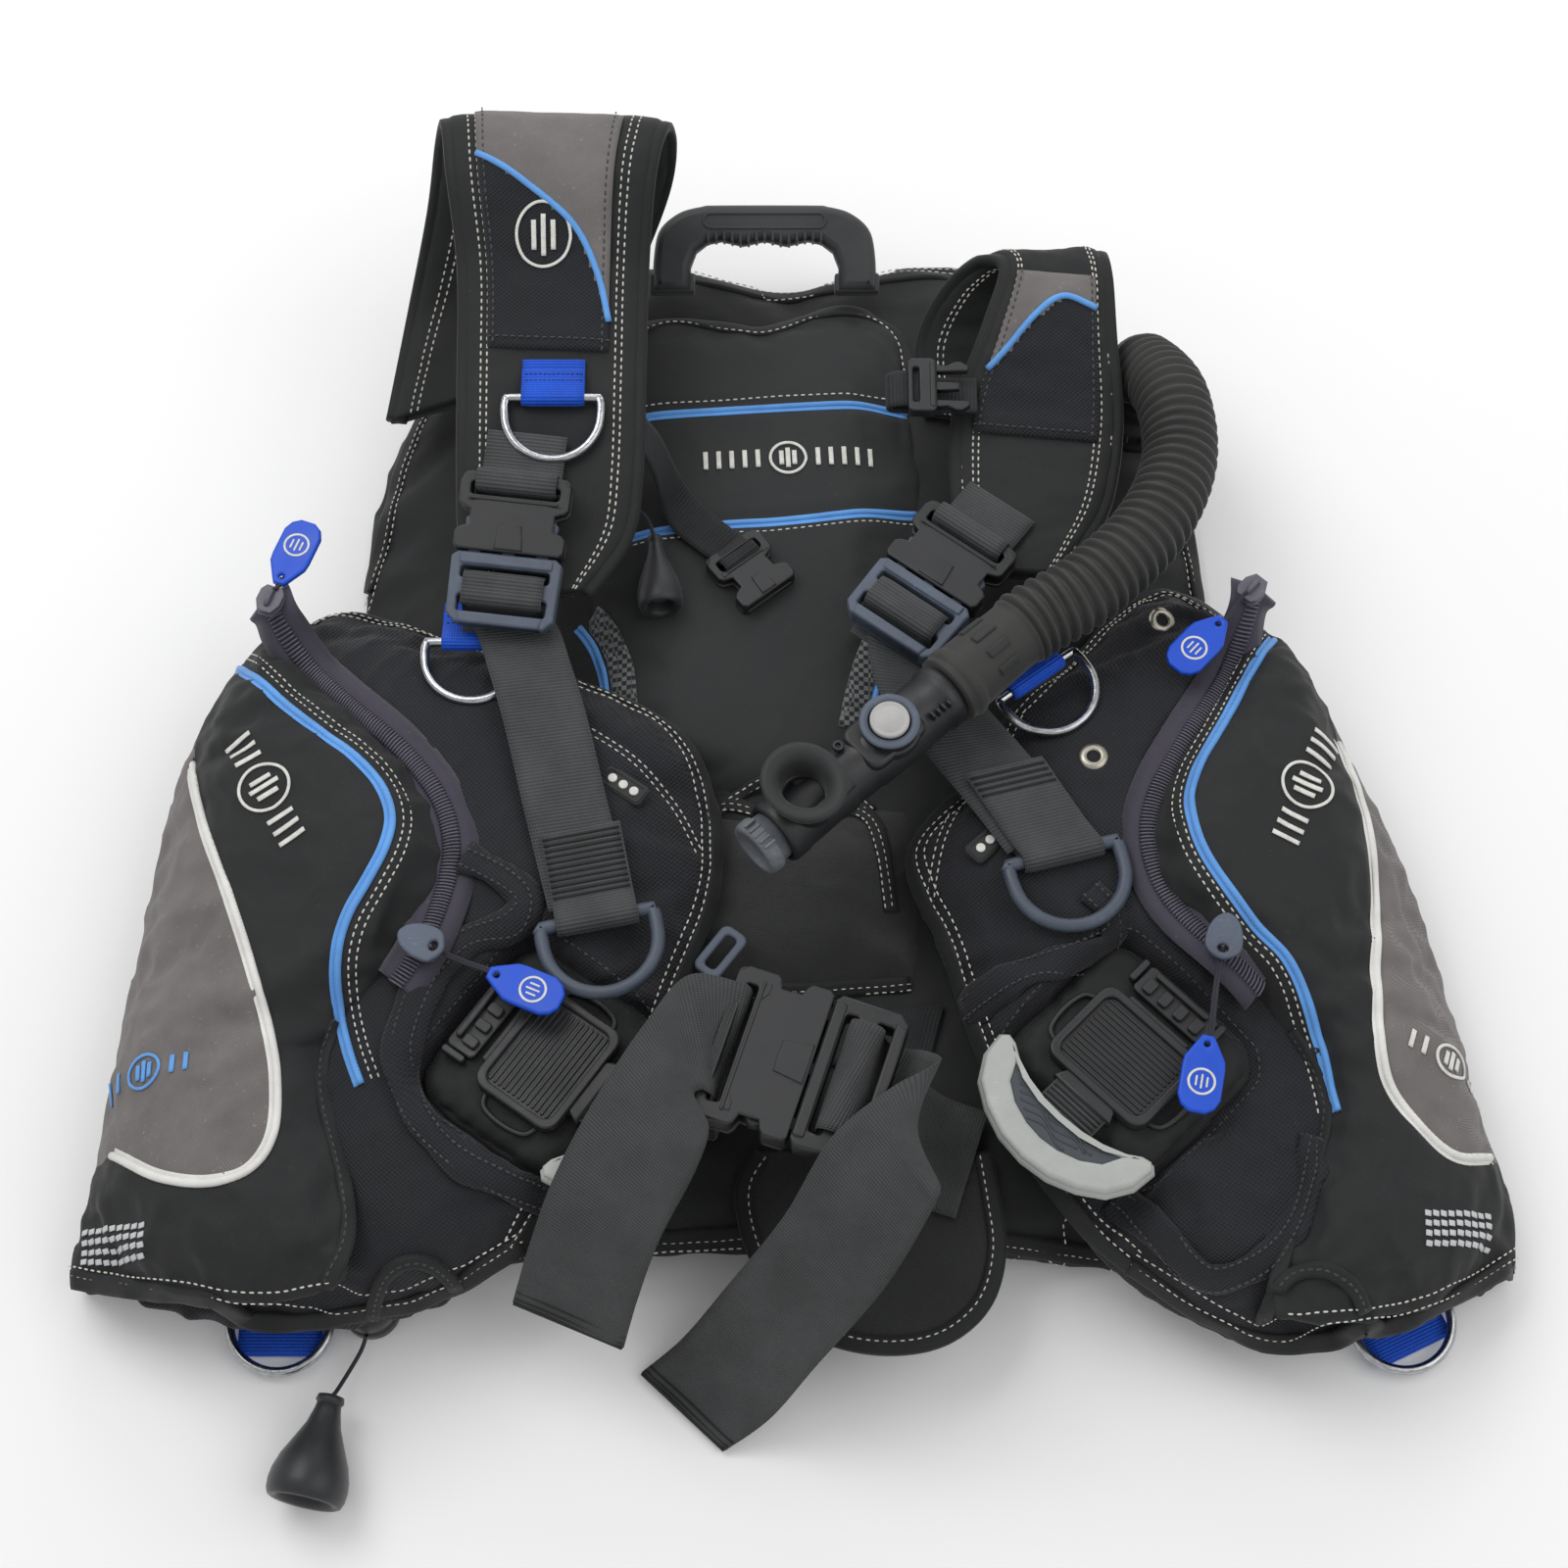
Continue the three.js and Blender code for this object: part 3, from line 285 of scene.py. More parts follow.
LOOKS = {
    "nylon": woven("coated_nylon", srgb(36, 37, 38), 0.0011, 0.72, 0.25, 0.07),
    "smooth": woven("smooth_nylon", srgb(42, 43, 44), 0.0009, 0.68, 0.2, 0.07, 0.06),
    "ballistic": woven("ballistic_weave", srgb(36, 37, 41), 0.0024, 0.8, 0.9, 0.10),
    "grey": woven("grey_weave", srgb(106, 102, 101), 0.0013, 0.74, 0.4, 0.12),
    "tape": woven("binding_tape", srgb(32, 33, 34), 0.0013, 0.66, 0.35, 0.08),
    "lumbar": fuzzy("brushed_loop", srgb(30, 31, 32)),
    "pile": fuzzy("hook_and_loop", srgb(32, 33, 34)),
    "mesh": checkered("spacer_mesh"),
    "webbing": webbing("shoulder_webbing", srgb(62, 64, 65), 0.0017),
    "elastic": webbing("waist_webbing", srgb(60, 61, 62), 0.0013),
    "blue_webbing": webbing("blue_webbing", srgb(12, 74, 186), 0.0015, 0.6),
    "black_webbing": webbing("black_webbing", srgb(36, 37, 39), 0.0019),
    "black": moulded("black_plastic", srgb(40, 41, 43), 0.38),
    "slate": moulded("slate_plastic", srgb(84, 93, 108), 0.46, 0.2, 0.5, 0.35),
    "ring_plastic": moulded("pull_ring_plastic", srgb(72, 80, 93), 0.4, 0.15, 0.3),
    "inset": moulded("grip_inset_plastic", srgb(66, 70, 76), 0.5, 0.2, 0.2),
    "pale": moulded("pale_plastic", srgb(168, 171, 167), 0.42, 0.1, 0.15, 0.14),
    "disc": moulded("button_plastic", srgb(172, 171, 169), 0.4, 0.08, 0.2, 0.15),
    "worn": moulded("worn_plastic", srgb(108, 112, 117), 0.5, 0.3, 0.7, 0.45),
    "blue": moulded("zip_pull_plastic", srgb(12, 76, 200), 0.4, 0.06, 0.1, 0.12),
    "hull": moulded("backpack_plastic", srgb(38, 39, 40), 0.5, 0.3, 0.2),
    "hose": rubber("hose_rubber", srgb(46, 47, 45)),
    "rubber": rubber("soft_rubber", srgb(37, 38, 39), 0.55),
    "handle": rubber("handle_rubber", srgb(50, 52, 53), 0.5),
    "knob": rubber("knob_rubber", srgb(41, 42, 45), 0.4),
    "piping": woven("light_blue_piping", srgb(92, 150, 232), 0.0009, 0.55, 0.3, 0.2, 0.0),
    "white_piping": woven("white_piping", srgb(226, 224, 214), 0.0009, 0.55, 0.3, 0.2, 0.0),
    "stitch": thread("white_thread", srgb(228, 226, 214)),
    "blue_thread": thread("blue_thread", srgb(16, 52, 150)),
    "dark_stitch": thread("black_thread", srgb(52, 53, 55)),
    "embroidery": thread("embroidery", srgb(226, 226, 220)),
    "zip_tape": woven("zip_tape", srgb(62, 59, 70), 0.0012, 0.75, 0.3, 0.2),
    "coil": moulded("zip_coil", srgb(92, 89, 100), 0.35, 0.05, 0.2),
    "steel": steel("stainless"),
    "nickel": moulded("nickel_plate", srgb(176, 172, 160), 0.3, 0.05, 0.4, 0.15, 1.0),
    "reflective": moulded("reflective_print", srgb(196, 198, 200), 0.35, 0.1, 0.1, 0.1),
    "cord": webbing("braided_cord", srgb(44, 44, 52), 0.0011),
}

# Mesh building ------------------------------------------------------------------------------------


def finish_piece(obj, look, body, replaces=()):
    if look:
        obj.data.materials.clear()
        obj.data.materials.append(LOOKS[look])
    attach(obj, body)
    if replaces:
        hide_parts(*replaces)
    return obj


def solid(name, parts, look, body="vest", replaces=(), runs=None):
    """One object from several (vertices, faces) parts."""
    verts, faces, base = [], [], 0
    for v, f in parts:
        verts.append(np.asarray(v, float))
        faces += [tuple(base + i for i in face) for face in f]
        base += len(v)
    mesh = bpy.data.meshes.new(name)
    mesh.from_pydata(np.concatenate(verts).tolist(), [], faces)
    if runs is not None:
        run = mesh.attributes.new("run", "FLOAT_VECTOR", "POINT")
        run.data.foreach_set("vector", np.concatenate(runs).astype(np.float32).ravel())
    mesh.update()
    mesh.polygons.foreach_set("use_smooth", [True] * len(mesh.polygons))
    obj = bpy.data.objects.new(name, mesh)
    bpy.context.scene.collection.objects.link(obj)
    return finish_piece(obj, look, body, replaces)


def refine(obj, *modifiers):
    """Applies modifiers, given as (type, settings)."""
    for kind, settings in modifiers:
        modifier = obj.modifiers.new(kind.lower(), kind)
        for key, value in settings.items():
            setattr(modifier, key, value)
    bpy.context.view_layer.update()
    done = bpy.data.meshes.new_from_object(obj.evaluated_get(bpy.context.evaluated_depsgraph_get()))
    obj.modifiers.clear()
    obj.data = done
    return obj


def curve_through(points, step=3.0, closed=False):
    """Points spaced evenly, step millimetres apart, along a smooth curve through the given ones."""
    pts = np.array([tuple(p) for p in points], float)
    n = len(pts)
    dense = []
    for i in range(n if closed else n - 1):
        a, b = (pts[(i - 1) % n], pts[(i + 2) % n]) if closed else (pts[max(i - 1, 0)], pts[min(i + 2, n - 1)])
        p, q = pts[i], pts[(i + 1) % n]
        for t in np.arange(0, 1, 0.05):
            dense.append(0.5 * (2 * p + (q - a) * t + (2 * a - 5 * p + 4 * q - b) * t * t
                                + (3 * p - a - 3 * q + b) * t ** 3))
    dense.append(dense[0] if closed else pts[-1])
    dense = np.array(dense)
    run = np.r_[0, np.cumsum(np.linalg.norm(np.diff(dense, axis=0), axis=1))]
    count = max(int(round(run[-1] / step)), 3)
    want = np.linspace(0, run[-1], count + 1)
    out = np.stack([np.interp(want, run, dense[:, k]) for k in range(dense.shape[1])], 1)
    return out[:-1] if closed else out


def unit(v):
    v = np.asarray(v, float)
    return v / np.maximum(np.linalg.norm(v, axis=-1, keepdims=True), 1e-12)


def frames(path, ups=None, closed=False):
    """Tangent, side and up at each point of a path."""
    path = np.asarray(path, float)
    tangent = unit(np.roll(path, -1, 0) - np.roll(path, 1, 0)) if closed else unit(np.gradient(path, axis=0))
    if ups is None:
        up = np.array([0, 0, 1.0]) if abs(tangent[0][2]) < 0.9 else np.array([0, 1.0, 0])
        ups = []
        for t in tangent:
            up = unit(up - t * np.dot(up, t))
            ups.append(up)
    ups = np.asarray(ups, float)
    side = unit(np.cross(tangent, ups))
    return tangent, side, unit(np.cross(side, tangent))


def sweep(path, section, ups=None, closed=False, widths=None):
    """A section of (side, up) points carried along a path, with flat ends."""
    path = np.asarray(path, float)
    _, side, up = frames(path, ups, closed)
    section = np.asarray(section, float)
    scale = np.ones(len(path)) if widths is None else np.asarray(widths, float)
    verts = path[:, None] + side[:, None] * (section[None, :, :1] * scale[:, None, None]) + up[:,
            None] * (section[None, :, 1:] * scale[:, None, None])
    m, n = len(section), len(path)
    faces = []
    for i in range(n if closed else n - 1):
        j = (i + 1) % n
        faces += [(i * m + k, i * m + (k + 1) % m, j * m + (k + 1) % m, j * m + k) for k in range(m)]
    if not closed:
        faces += [tuple(reversed(range(m))), tuple((n - 1) * m + k for k in range(m))]
    return verts.reshape(-1, 3), faces


def ellipse(width, height, count=10):
    """An oval section in metres, from its size in millimetres."""
    turns = np.linspace(0, 2 * math.pi, count, endpoint=False)
    return [(math.cos(a) * width / 2 * MM, math.sin(a) * height / 2 * MM) for a in turns]


def tape_section(width, height):
    """A thin strip's section with soft edges, in metres, from its size in millimetres."""
    w, h = width / 2, height / 2
    upper = [(-w, 0), (-w * 0.9, -h * 0.8), (-w * 0.5, -h), (0, -h), (w * 0.5, -h), (w * 0.9, -h * 0.8)]
    return [(x * MM, y * MM) for x, y in upper + [(-x, -y) for x, y in upper]]


def dashes(path, ups, length=2.5, gap=1.3, width=0.42, height=0.35):
    """Stitches along a path in metres: one small raised grain of thread each."""
    path = np.asarray(path, float)
    run = np.r_[0, np.cumsum(np.linalg.norm(np.diff(path, axis=0), axis=1))]
    spots = np.arange(length * MM / 2, run[-1], (length + gap) * MM)
    where = np.stack([np.interp(spots, run, path[:, k]) for k in range(3)], 1)
    up = unit(np.stack([np.interp(spots, run, np.asarray(ups)[:, k]) for k in range(3)], 1))
    ahead = np.stack([np.interp(spots + 0.0005, run, path[:, k]) for k in range(3)], 1)
    tangent = unit(ahead - where + 1e-12)
    side = np.cross(tangent, up)
    parts = []
    for p, t, s, u in zip(where, tangent, side, up):
        half, w, h = t * length * MM / 2, s * width * MM, u * height * MM
        ring = [w, h, -w, -h]
        verts = [p - half] + [p - half * 0.6 + r for r in ring] + [p + half * 0.6 + r for r in ring] + [p + half]
        faces = [(0, 1 + (k + 1) % 4, 1 + k) for k in range(4)]
        faces += [(1 + k, 1 + (k + 1) % 4, 5 + (k + 1) % 4, 5 + k) for k in range(4)]
        faces += [(9, 5 + k, 5 + (k + 1) % 4) for k in range(4)]
        parts.append((verts, faces))
    return parts


class Skin:
    """Finished surfaces that seams, tapes and stitches are laid on from above."""

    def __init__(self, *objs):
        self.trees = []
        for obj in objs:
            data = obj.data
            verts = [obj.matrix_world @ v.co for v in data.vertices]
            self.trees.append(BVHTree.FromPolygons(verts, [tuple(p.vertices) for p in data.polygons]))

    def top(self, x, y, default=None):
        best = None
        for tree in self.trees:
            hit = tree.ray_cast(Vector((x, y, 0.4)), Vector((0, 0, -1)))
            if hit[0] is not None and (best is None or hit[0].z > best[0].z):
                best = hit
        if best is None:
            found = [t.find_nearest(Vector((x, y, default or 0.05))) for t in self.trees]
            best = min(found, key=lambda f: f[3])
        return best[0], best[1] if best[1].z > 0 else -best[1]

    def lay(self, points, lift=0.0, step=2.5, aside=0.0, soften=3, closed=False):
        """The curve through points (in drawn millimetres) laid on the surfaces: its path and its normals."""
        flat = curve_through([(p[0], p[1], 0) for p in points], step, closed)
        if aside:
            _, side, _ = frames(flat, closed=closed)
            flat = flat + side * aside
        # Points past the surfaces' edge are left out at either end.
        on = [any(tree.ray_cast(Vector((*at(x, y)[:2], 0.4)), Vector((0, 0, -1)))[0] for tree in self.trees)
              for x, y, _ in flat]
        if not closed and sum(on) > 4:
            flat = flat[on.index(True):len(on) - on[::-1].index(True)]
        path, normals = [], []
        for x, y, _ in flat:
            spot, normal = self.top(*at(x, y)[:2])
            path.append(spot)
            normals.append(normal)
        path, normals = np.array(path), np.array(normals)
        for _ in range(soften):
            path[1:-1] = (path[:-2] + 2 * path[1:-1] + path[2:]) / 4
            normals[1:-1] = (normals[:-2] + 2 * normals[1:-1] + normals[2:]) / 4
        normals = unit(normals)
        return path + normals * lift * MM, normals


# Flat mouldings -----------------------------------------------------------------------------------


def rounded(width, height, radius, x=0.0, y=0.0, count=6):
    """A rounded rectangle's outline, about (x, y)."""
    out = []
    for k, (sx, sy) in enumerate(((1, 1), (-1, 1), (-1, -1), (1, -1))):
        for a in np.linspace(k * math.pi / 2, (k + 1) * math.pi / 2, count):
            out.append((x + sx * (width / 2 - radius) + radius * math.cos(a),
                        y + sy * (height / 2 - radius) + radius * math.sin(a)))
    return out


def oval(width, height, x=0.0, y=0.0, count=28):
    """An oval's outline, about (x, y)."""
    return [(x + width / 2 * math.cos(a), y + height / 2 * math.sin(a))
            for a in np.linspace(0, 2 * math.pi, count, endpoint=False)]


def mirrored(half):
    """An outline from its right half, then the half's mirror image back to the start."""
    return half + [(-x, y) for x, y in reversed(half)]


def smoothed(outline, step, closed=False):
    """A smooth outline through these points."""
    return [tuple(p[:2]) for p in curve_through([(x, y, 0) for x, y in outline], step, closed)]


def moulding(outlines, low, high, edge=0.8, frame_matrix=None):
    """A plate with rounded rims between two heights: the first outline is its edge, the rest are holes."""
    data = bpy.data.curves.new("tmp", "CURVE")
    data.dimensions = "2D"
    data.fill_mode = "BOTH"
    data.extrude = (high - low) / 2 * MM - edge * MM
    data.bevel_depth = edge * MM
    data.bevel_resolution = 2
    data.offset = -edge * MM
    for outline in outlines:
        spline = data.splines.new("POLY")
        spline.points.add(len(outline) - 1)
        for point, (x, y) in zip(spline.points, outline):
            point.co = (x * MM, y * MM, 0, 1)
        spline.use_cyclic_u = True
    obj = bpy.data.objects.new("tmp", data)
    bpy.context.scene.collection.objects.link(obj)
    bpy.context.view_layer.update()
    mesh = bpy.data.meshes.new_from_object(obj.evaluated_get(bpy.context.evaluated_depsgraph_get()))
    verts = np.array([v.co for v in mesh.vertices])
    faces = [tuple(p.vertices) for p in mesh.polygons]
    bpy.data.objects.remove(obj)
    bpy.data.curves.remove(data)
    bpy.data.meshes.remove(mesh)
    verts[:, 2] += (low + high) / 2 * MM
    return placed((verts, faces), frame_matrix)


def placed(part, matrix):
    if matrix is None:
        return part
    verts = np.asarray(part[0])
    m = np.array(matrix)
    return verts @ m[:3, :3].T + m[:3, 3], part[1]


def frame_at(x, y, z, direction, up=(0, 0, 1)):
    """A frame at a drawn point with Y along direction and Z as near up as it can be."""
    yv = Vector(direction).normalized()
    xv = yv.cross(Vector(up)).normalized()
    zv = xv.cross(yv)
    matrix = Matrix.Identity(4)
    for k, axis in enumerate((xv, yv, zv)):
        matrix[0][k], matrix[1][k], matrix[2][k] = axis
    matrix.translation = at(x, y, z)
    return matrix


def lathe(profile, matrix, count=32, ring=False):
    """(radius, along) in millimetres turned about the frame's Y axis. A ring's profile is closed on itself."""
    verts, faces = [], []
    m = len(profile)
    for i in range(count):
        a = 2 * math.pi * i / count
        verts += [(r * math.cos(a) * MM, y * MM, r * math.sin(a) * MM) for r, y in profile]
        j = (i + 1) % count
        faces += [(i * m + k, i * m + k + 1, j * m + k + 1, j * m + k) for k in range(m - 1)]
    if ring:
        starts = [(i * m, (i + 1) % count * m) for i in range(count)]
        faces += [(a + m - 1, a, b, b + m - 1) for a, b in starts]
    return placed((np.array(verts), faces), matrix)


def band(name, left, right, thick, look, body="vest", slot="waist_webbing", replaces=(), step=2.0, wave=0.0,
         across=9):
    """Flat webbing between two edges given in drawn millimetres."""
    count = max(int(np.linalg.norm(np.diff(np.array(left), axis=0), axis=1).sum() / step), 8)

    def evenly(points):
        path = curve_through(points, 1.0)
        want = np.linspace(0, len(path) - 1, count)
        return np.stack([np.interp(want, range(len(path)), path[:, k]) for k in range(3)], 1)

    a, b = evenly(left), evenly(right)
    middle = (a + b) / 2
    tangent = unit(np.gradient(middle, axis=0))
    normal = unit(np.cross(unit(b - a), tangent))
    run = np.r_[0, np.cumsum(np.linalg.norm(np.diff(middle, axis=0), axis=1))]
    width = float(np.mean(np.linalg.norm(b - a, axis=1)))
    verts, runs = [], []
    for i in range(count):
        for layer in (1, -1):
            for k in range(across):
                s = k / (across - 1)
                thin = 0.55 if k in (0, across - 1) else 1.0
                lift = wave * math.sin(run[i] * 0.11 + s * 2.2) * math.sin(s * math.pi)
                p = a[i] * (1 - s) + b[i] * s + normal[i] * (layer * thick / 2 * thin + lift)
                verts.append(at(*p))
                runs.append((s * width * MM, run[i] * MM, 0))
    m = across * 2
    faces = []
    for i in range(count - 1):
        for k in range(across - 1):
            p, q = i * m + k, (i + 1) * m + k
            faces += [(p, p + 1, q + 1, q), (p + across, q + across, q + across + 1, p + across + 1)]
        p, q = i * m, (i + 1) * m
        faces += [(p, q, q + across, p + across), (p + across - 1, p + m - 1, q + m - 1, q + across - 1)]
    for i in (0, count - 1):
        for k in range(across - 1):
            p = i * m + k
            face = (p, p + across, p + across + 1, p + 1)
            faces.append(face if i == 0 else face[::-1])
    return solid(name, [(verts, faces)], look, body, replaces, runs=[np.array(runs)])

# Dump cords ---------------------------------------------------------------------------------------

KNOB_PROFILE = [(0, 0), (0.22, 0), (0.30, 0.03), (0.34, 0.12), (0.44, 0.26), (0.66, 0.44), (0.86, 0.60), (0.97, 0.74),
                (1.0, 0.84), (0.98, 0.93), (0.92, 0.985), (0.84, 1.0), (0.72, 0.985), (0.64, 0.94), (0.60, 0.84),
                (0.5, 0.76), (0, 0.74)]


def dump_line(name, route, knob_at, pull, knob_length, widest, node):
    """A dump valve cord along a route, with its pear-shaped pull knob."""
    path = curve_through(route, 2.5)
    data = bpy.data.curves.new(name, "CURVE")
    data.dimensions = "3D"
    data.bevel_depth = 0.001
    data.bevel_resolution = 3
    spline = data.splines.new("POLY")
    spline.points.add(len(path) - 1)
    for point, spot in zip(spline.points, path):
        point.co = (*at(*spot), 1)
    cord = bpy.data.objects.new(name, data)
    bpy.context.scene.collection.objects.link(cord)
    cord.data.materials.append(LOOKS["cord"])
    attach(cord, node)
    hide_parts(f"{node}_cord")
    matrix = frame_at(*knob_at, pull)
    profile = [(r * widest, y * knob_length) for r, y in KNOB_PROFILE]
    collar = lathe([(widest * 0.2, -2.0), (widest * 0.33, -1.4), (widest * 0.36, 1.0), (widest * 0.30, 2.4)], matrix)
    knob = solid(f"{node}_pull_knob", [lathe(profile, matrix, 40), collar], "knob", node,
                 [f"{node}_knob"])


dump_line("shoulder_dump_line", [(-116.6, 152, 57), (-107.6, 153, 63), (-86, 150, 64), (-69, 142, 68),
                                 (-63.08, 128.8, 67)],
          (-63, 128, 67), (0.1, -1, 0), 38, 11, "shoulder_dump")
dump_line("hem_dump_line", [(-187.5, -252, 15), (-191, -258, 7), (-198.84, -274.2, 10), (-200.84, -281.2, 19)],
          (-201, -282, 19), (-0.2, -1, 0), 46, 18, "hem_dump")

# Soft shells --------------------------------------------------------------------------------------

# Each weight pouch's middle and the direction it is pulled in, with its sleeve's reach about that middle
SLEEVES = {"right": ((-104, -147), (0.81, -0.58)), "left": ((150, -146), (-0.7, -0.71))}

SLEEVE_HALF_WIDTH = 44
SLEEVE_BACK, SLEEVE_FRONT = -48, 34
SLEEVE_MARGIN = 4


def in_sleeve(x, y, side):
    """Whether a drawn point is over a sleeve, whose upright walls aren't the lobe's rim."""
    (cx, cy), pull = SLEEVES[side]
    px, py = unit(pull)
    along, across = (x - cx) * px + (y - cy) * py, (x - cx) * py - (y - cy) * px
    return (abs(across) < SLEEVE_HALF_WIDTH + SLEEVE_MARGIN
            and SLEEVE_BACK - SLEEVE_MARGIN < along < SLEEVE_FRONT + SLEEVE_MARGIN)


def simulate(obj, pinned, spare, cap, last):
    """Cloth under a little pressure, cut slightly too large so that it puckers between its pinned seams."""
    start = np.array([v.co for v in obj.data.vertices])
    group = obj.vertex_groups.new(name="pin")
    group.add(pinned, 1.0, "REPLACE")
    modifier = obj.modifiers.new("cloth", "CLOTH")
    settings = modifier.settings
    settings.quality = 4
    settings.mass = 0.25
    settings.tension_stiffness = settings.compression_stiffness = 12
    settings.shear_stiffness = 4
    settings.bending_stiffness = 0.15
    settings.use_pressure = True
    settings.uniform_pressure_force = 4.0
    settings.vertex_group_mass = "pin"
    settings.shrink_min = -spare
    settings.effector_weights.gravity = 0
    modifier.collision_settings.use_collision = False
    modifier.point_cache.frame_end = last
    for step in range(1, last + 1):
        bpy.context.scene.frame_set(step)
    shape = obj.evaluated_get(bpy.context.evaluated_depsgraph_get()).data
    moved = np.array([v.co for v in shape.vertices]) - start
    far = np.linalg.norm(moved, axis=1, keepdims=True)
    moved *= np.minimum(1, cap * MM / np.maximum(far, 1e-9))
    obj.modifiers.clear()
    obj.vertex_groups.clear()
    obj.data.vertices.foreach_set("co", (start + moved).astype(np.float32).ravel())
    obj.data.update()
    bpy.context.scene.frame_set(1)


def crumple(obj, amount, size=34.0, seams=(), low=None):
    """Soft folds over the surface, and a groove along each seam, given as (points, depth, width)."""
    data = obj.data
    tree = None
    marks = [(p, depth, width) for points, depth, width in seams
             for p in curve_through([(q[0], q[1], 0) for q in points], 2.0)]
    if marks:
        tree = KDTree(len(marks))
        for k, (p, _, _) in enumerate(marks):
            tree.insert(Vector((*at(p[0], p[1])[:2], 0)), k)
        tree.balance()
    normals = [v.normal.copy() for v in data.vertices]
    for v, normal in zip(data.vertices, normals):
        q = v.co / (size * MM)
        broad = noise.noise(q + Vector((3.1, 0, 7.7)))
        crease = 1 - abs(noise.noise(q * 1.7 + Vector((9.2, 4.4, 1.3)))) * 3.2
        fine = noise.noise(q * 3.6 + Vector((1.7, 8.8, 2.9)))
        shift = amount * (0.9 * broad + 0.55 * max(crease, 0) + 0.28 * fine)
        if tree is not None and normal.z > 0.1:
            _, k, far = tree.find(Vector((v.co.x, v.co.y, 0)))
            depth, width = marks[k][1], marks[k][2] * MM
            if far < width:
                fall = (1 - (far / width) ** 2) ** 2
                shift = shift * (1 - 0.7 * fall) - depth * fall
        v.co += normal * shift * MM
        if low is not None and v.co.z < low * MM:
            v.co.z = low * MM
    data.update()


def puff(node, name, look, voxel=5.0, rim=22.0, thin=0.3, mid=0.5, spare=0.05, cap=6.0, fold=1.2,
         size=34.0, seams=(), ignore=None, last=16, low=None, body="vest"):
    """A CAD soft solid made into a sewn shell: thin at its seamed rim, swollen inside, and creased."""
    source = NODES[node]
    verts = [source.matrix_world @ v.co for v in source.data.vertices]
    faces = [tuple(p.vertices) for p in source.data.polygons]
    tree = BVHTree.FromPolygons(verts, faces)
    sides = []
    for face in faces:
        a, b, c = (verts[i] for i in face[:3])
        normal = (b - a).cross(c - a)
        if normal.length < 1e-12 or abs(normal.normalized().z) > 0.35:
            continue
        for s in range(6):
            for t in range(6 - s):
                p = a + (b - a) * (s / 5) + (c - a) * (t / 5)
                if not (ignore and ignore(p.x / MM - SHIFT.x, p.y / MM - SHIFT.y)):
                    sides.append(p)
    near = KDTree(len(sides))
    for k, p in enumerate(sides):
        near.insert(Vector((p.x, p.y, 0)), k)
    near.balance()
    mesh = bpy.data.meshes.new(name)
    mesh.from_pydata(verts, [], faces)
    obj = bpy.data.objects.new(name, mesh)
    bpy.context.scene.collection.objects.link(obj)
    refine(obj, ("REMESH", {"mode": "VOXEL", "voxel_size": voxel * MM}), ("SMOOTH", {"factor": 0.5, "iterations": 3}))
    pinned = []
    for v in obj.data.vertices:
        far = near.find(Vector((v.co.x, v.co.y, 0)))[2] / MM
        top = tree.ray_cast(Vector((v.co.x, v.co.y, 1)), Vector((0, 0, -1)))[0]
        bottom = tree.ray_cast(Vector((v.co.x, v.co.y, -1)), Vector((0, 0, 1)))[0]
        if top is None or bottom is None:
            nearest = tree.find_nearest(v.co)[0]
            level, far = nearest.z, 0.0
        else:
            level = bottom.z + (top.z - bottom.z) * mid
        keep = thin + (1 - thin) * math.sqrt(max(1 - (1 - min(far / rim, 1)) ** 2, 0))
        v.co.z = level + (v.co.z - level) * keep
        if far < voxel * 0.8:
            pinned.append(v.index)
    simulate(obj, pinned, spare, cap, last)
    refine(obj, ("SMOOTH", {"factor": 0.4, "iterations": 1}), ("SUBSURF", {"levels": 1}))
    crumple(obj, fold, size, seams, low=low)
    obj.data.polygons.foreach_set("use_smooth", [True] * len(obj.data.polygons))
    finish_piece(obj, look, body, [node])
    return obj


def inside(x, y, outline):
    """Whether a point is inside an outline."""
    hit = False
    for (x0, y0), (x1, y1) in zip(outline, outline[1:] + outline[:1]):
        if (y0 > y) != (y1 > y) and x < x0 + (y - y0) * (x1 - x0) / (y1 - y0):
            hit = not hit
    return hit


def panel(obj, outline, look):
    """Gives the top faces within an outline (drawn millimetres) another cloth."""
    obj.data.materials.append(LOOKS[look])
    index = len(obj.data.materials) - 1
    for face in obj.data.polygons:
        x, y, _ = face.center / MM - SHIFT
        if face.normal.z > 0.02 and inside(x, y, outline):
            face.material_index = index


def seam(name, skin, points, rows=(0.0,), slot="lobe_weave", look="stitch", lift=0.25, **sizes):
    """Rows of stitches along a line, each row set aside from it by so many millimetres."""
    parts = []
    for row in rows:
        path, normals = skin.lay(points, lift, aside=row)
        parts += dashes(path, normals, **sizes)
    return solid(name, parts, look, "vest")


def piping(name, skin, points, look, width=3.4):
    """A corded edge and the flat flange beside it."""
    path, normals = skin.lay(points, 0.6)
    flange, flat_normals = skin.lay(points, 0.2, aside=2.2)
    return solid(name, [sweep(path, ellipse(width, width * 0.9), normals),
                        sweep(flange, tape_section(3.0, 0.6), flat_normals)], look, "vest")


def binding(name, skin, points, width=10.0, height=3.2, look="tape", aside=0.0, rows=()):
    """Tape folded over an edge, with its rows of stitches."""
    path, normals = skin.lay(points, 0.2, aside=aside, soften=4)
    section = tape_section(width, height)
    solid(name, [sweep(path, section, normals)], look, "vest")
    if rows:
        parts = []
        for row in rows:
            line, ups = skin.lay(points, 0.2 + height / 2 * 0.9, aside=aside + row, soften=4)
            parts += dashes(line, ups)
        solid(name + "_stitches", parts, "stitch", "vest")


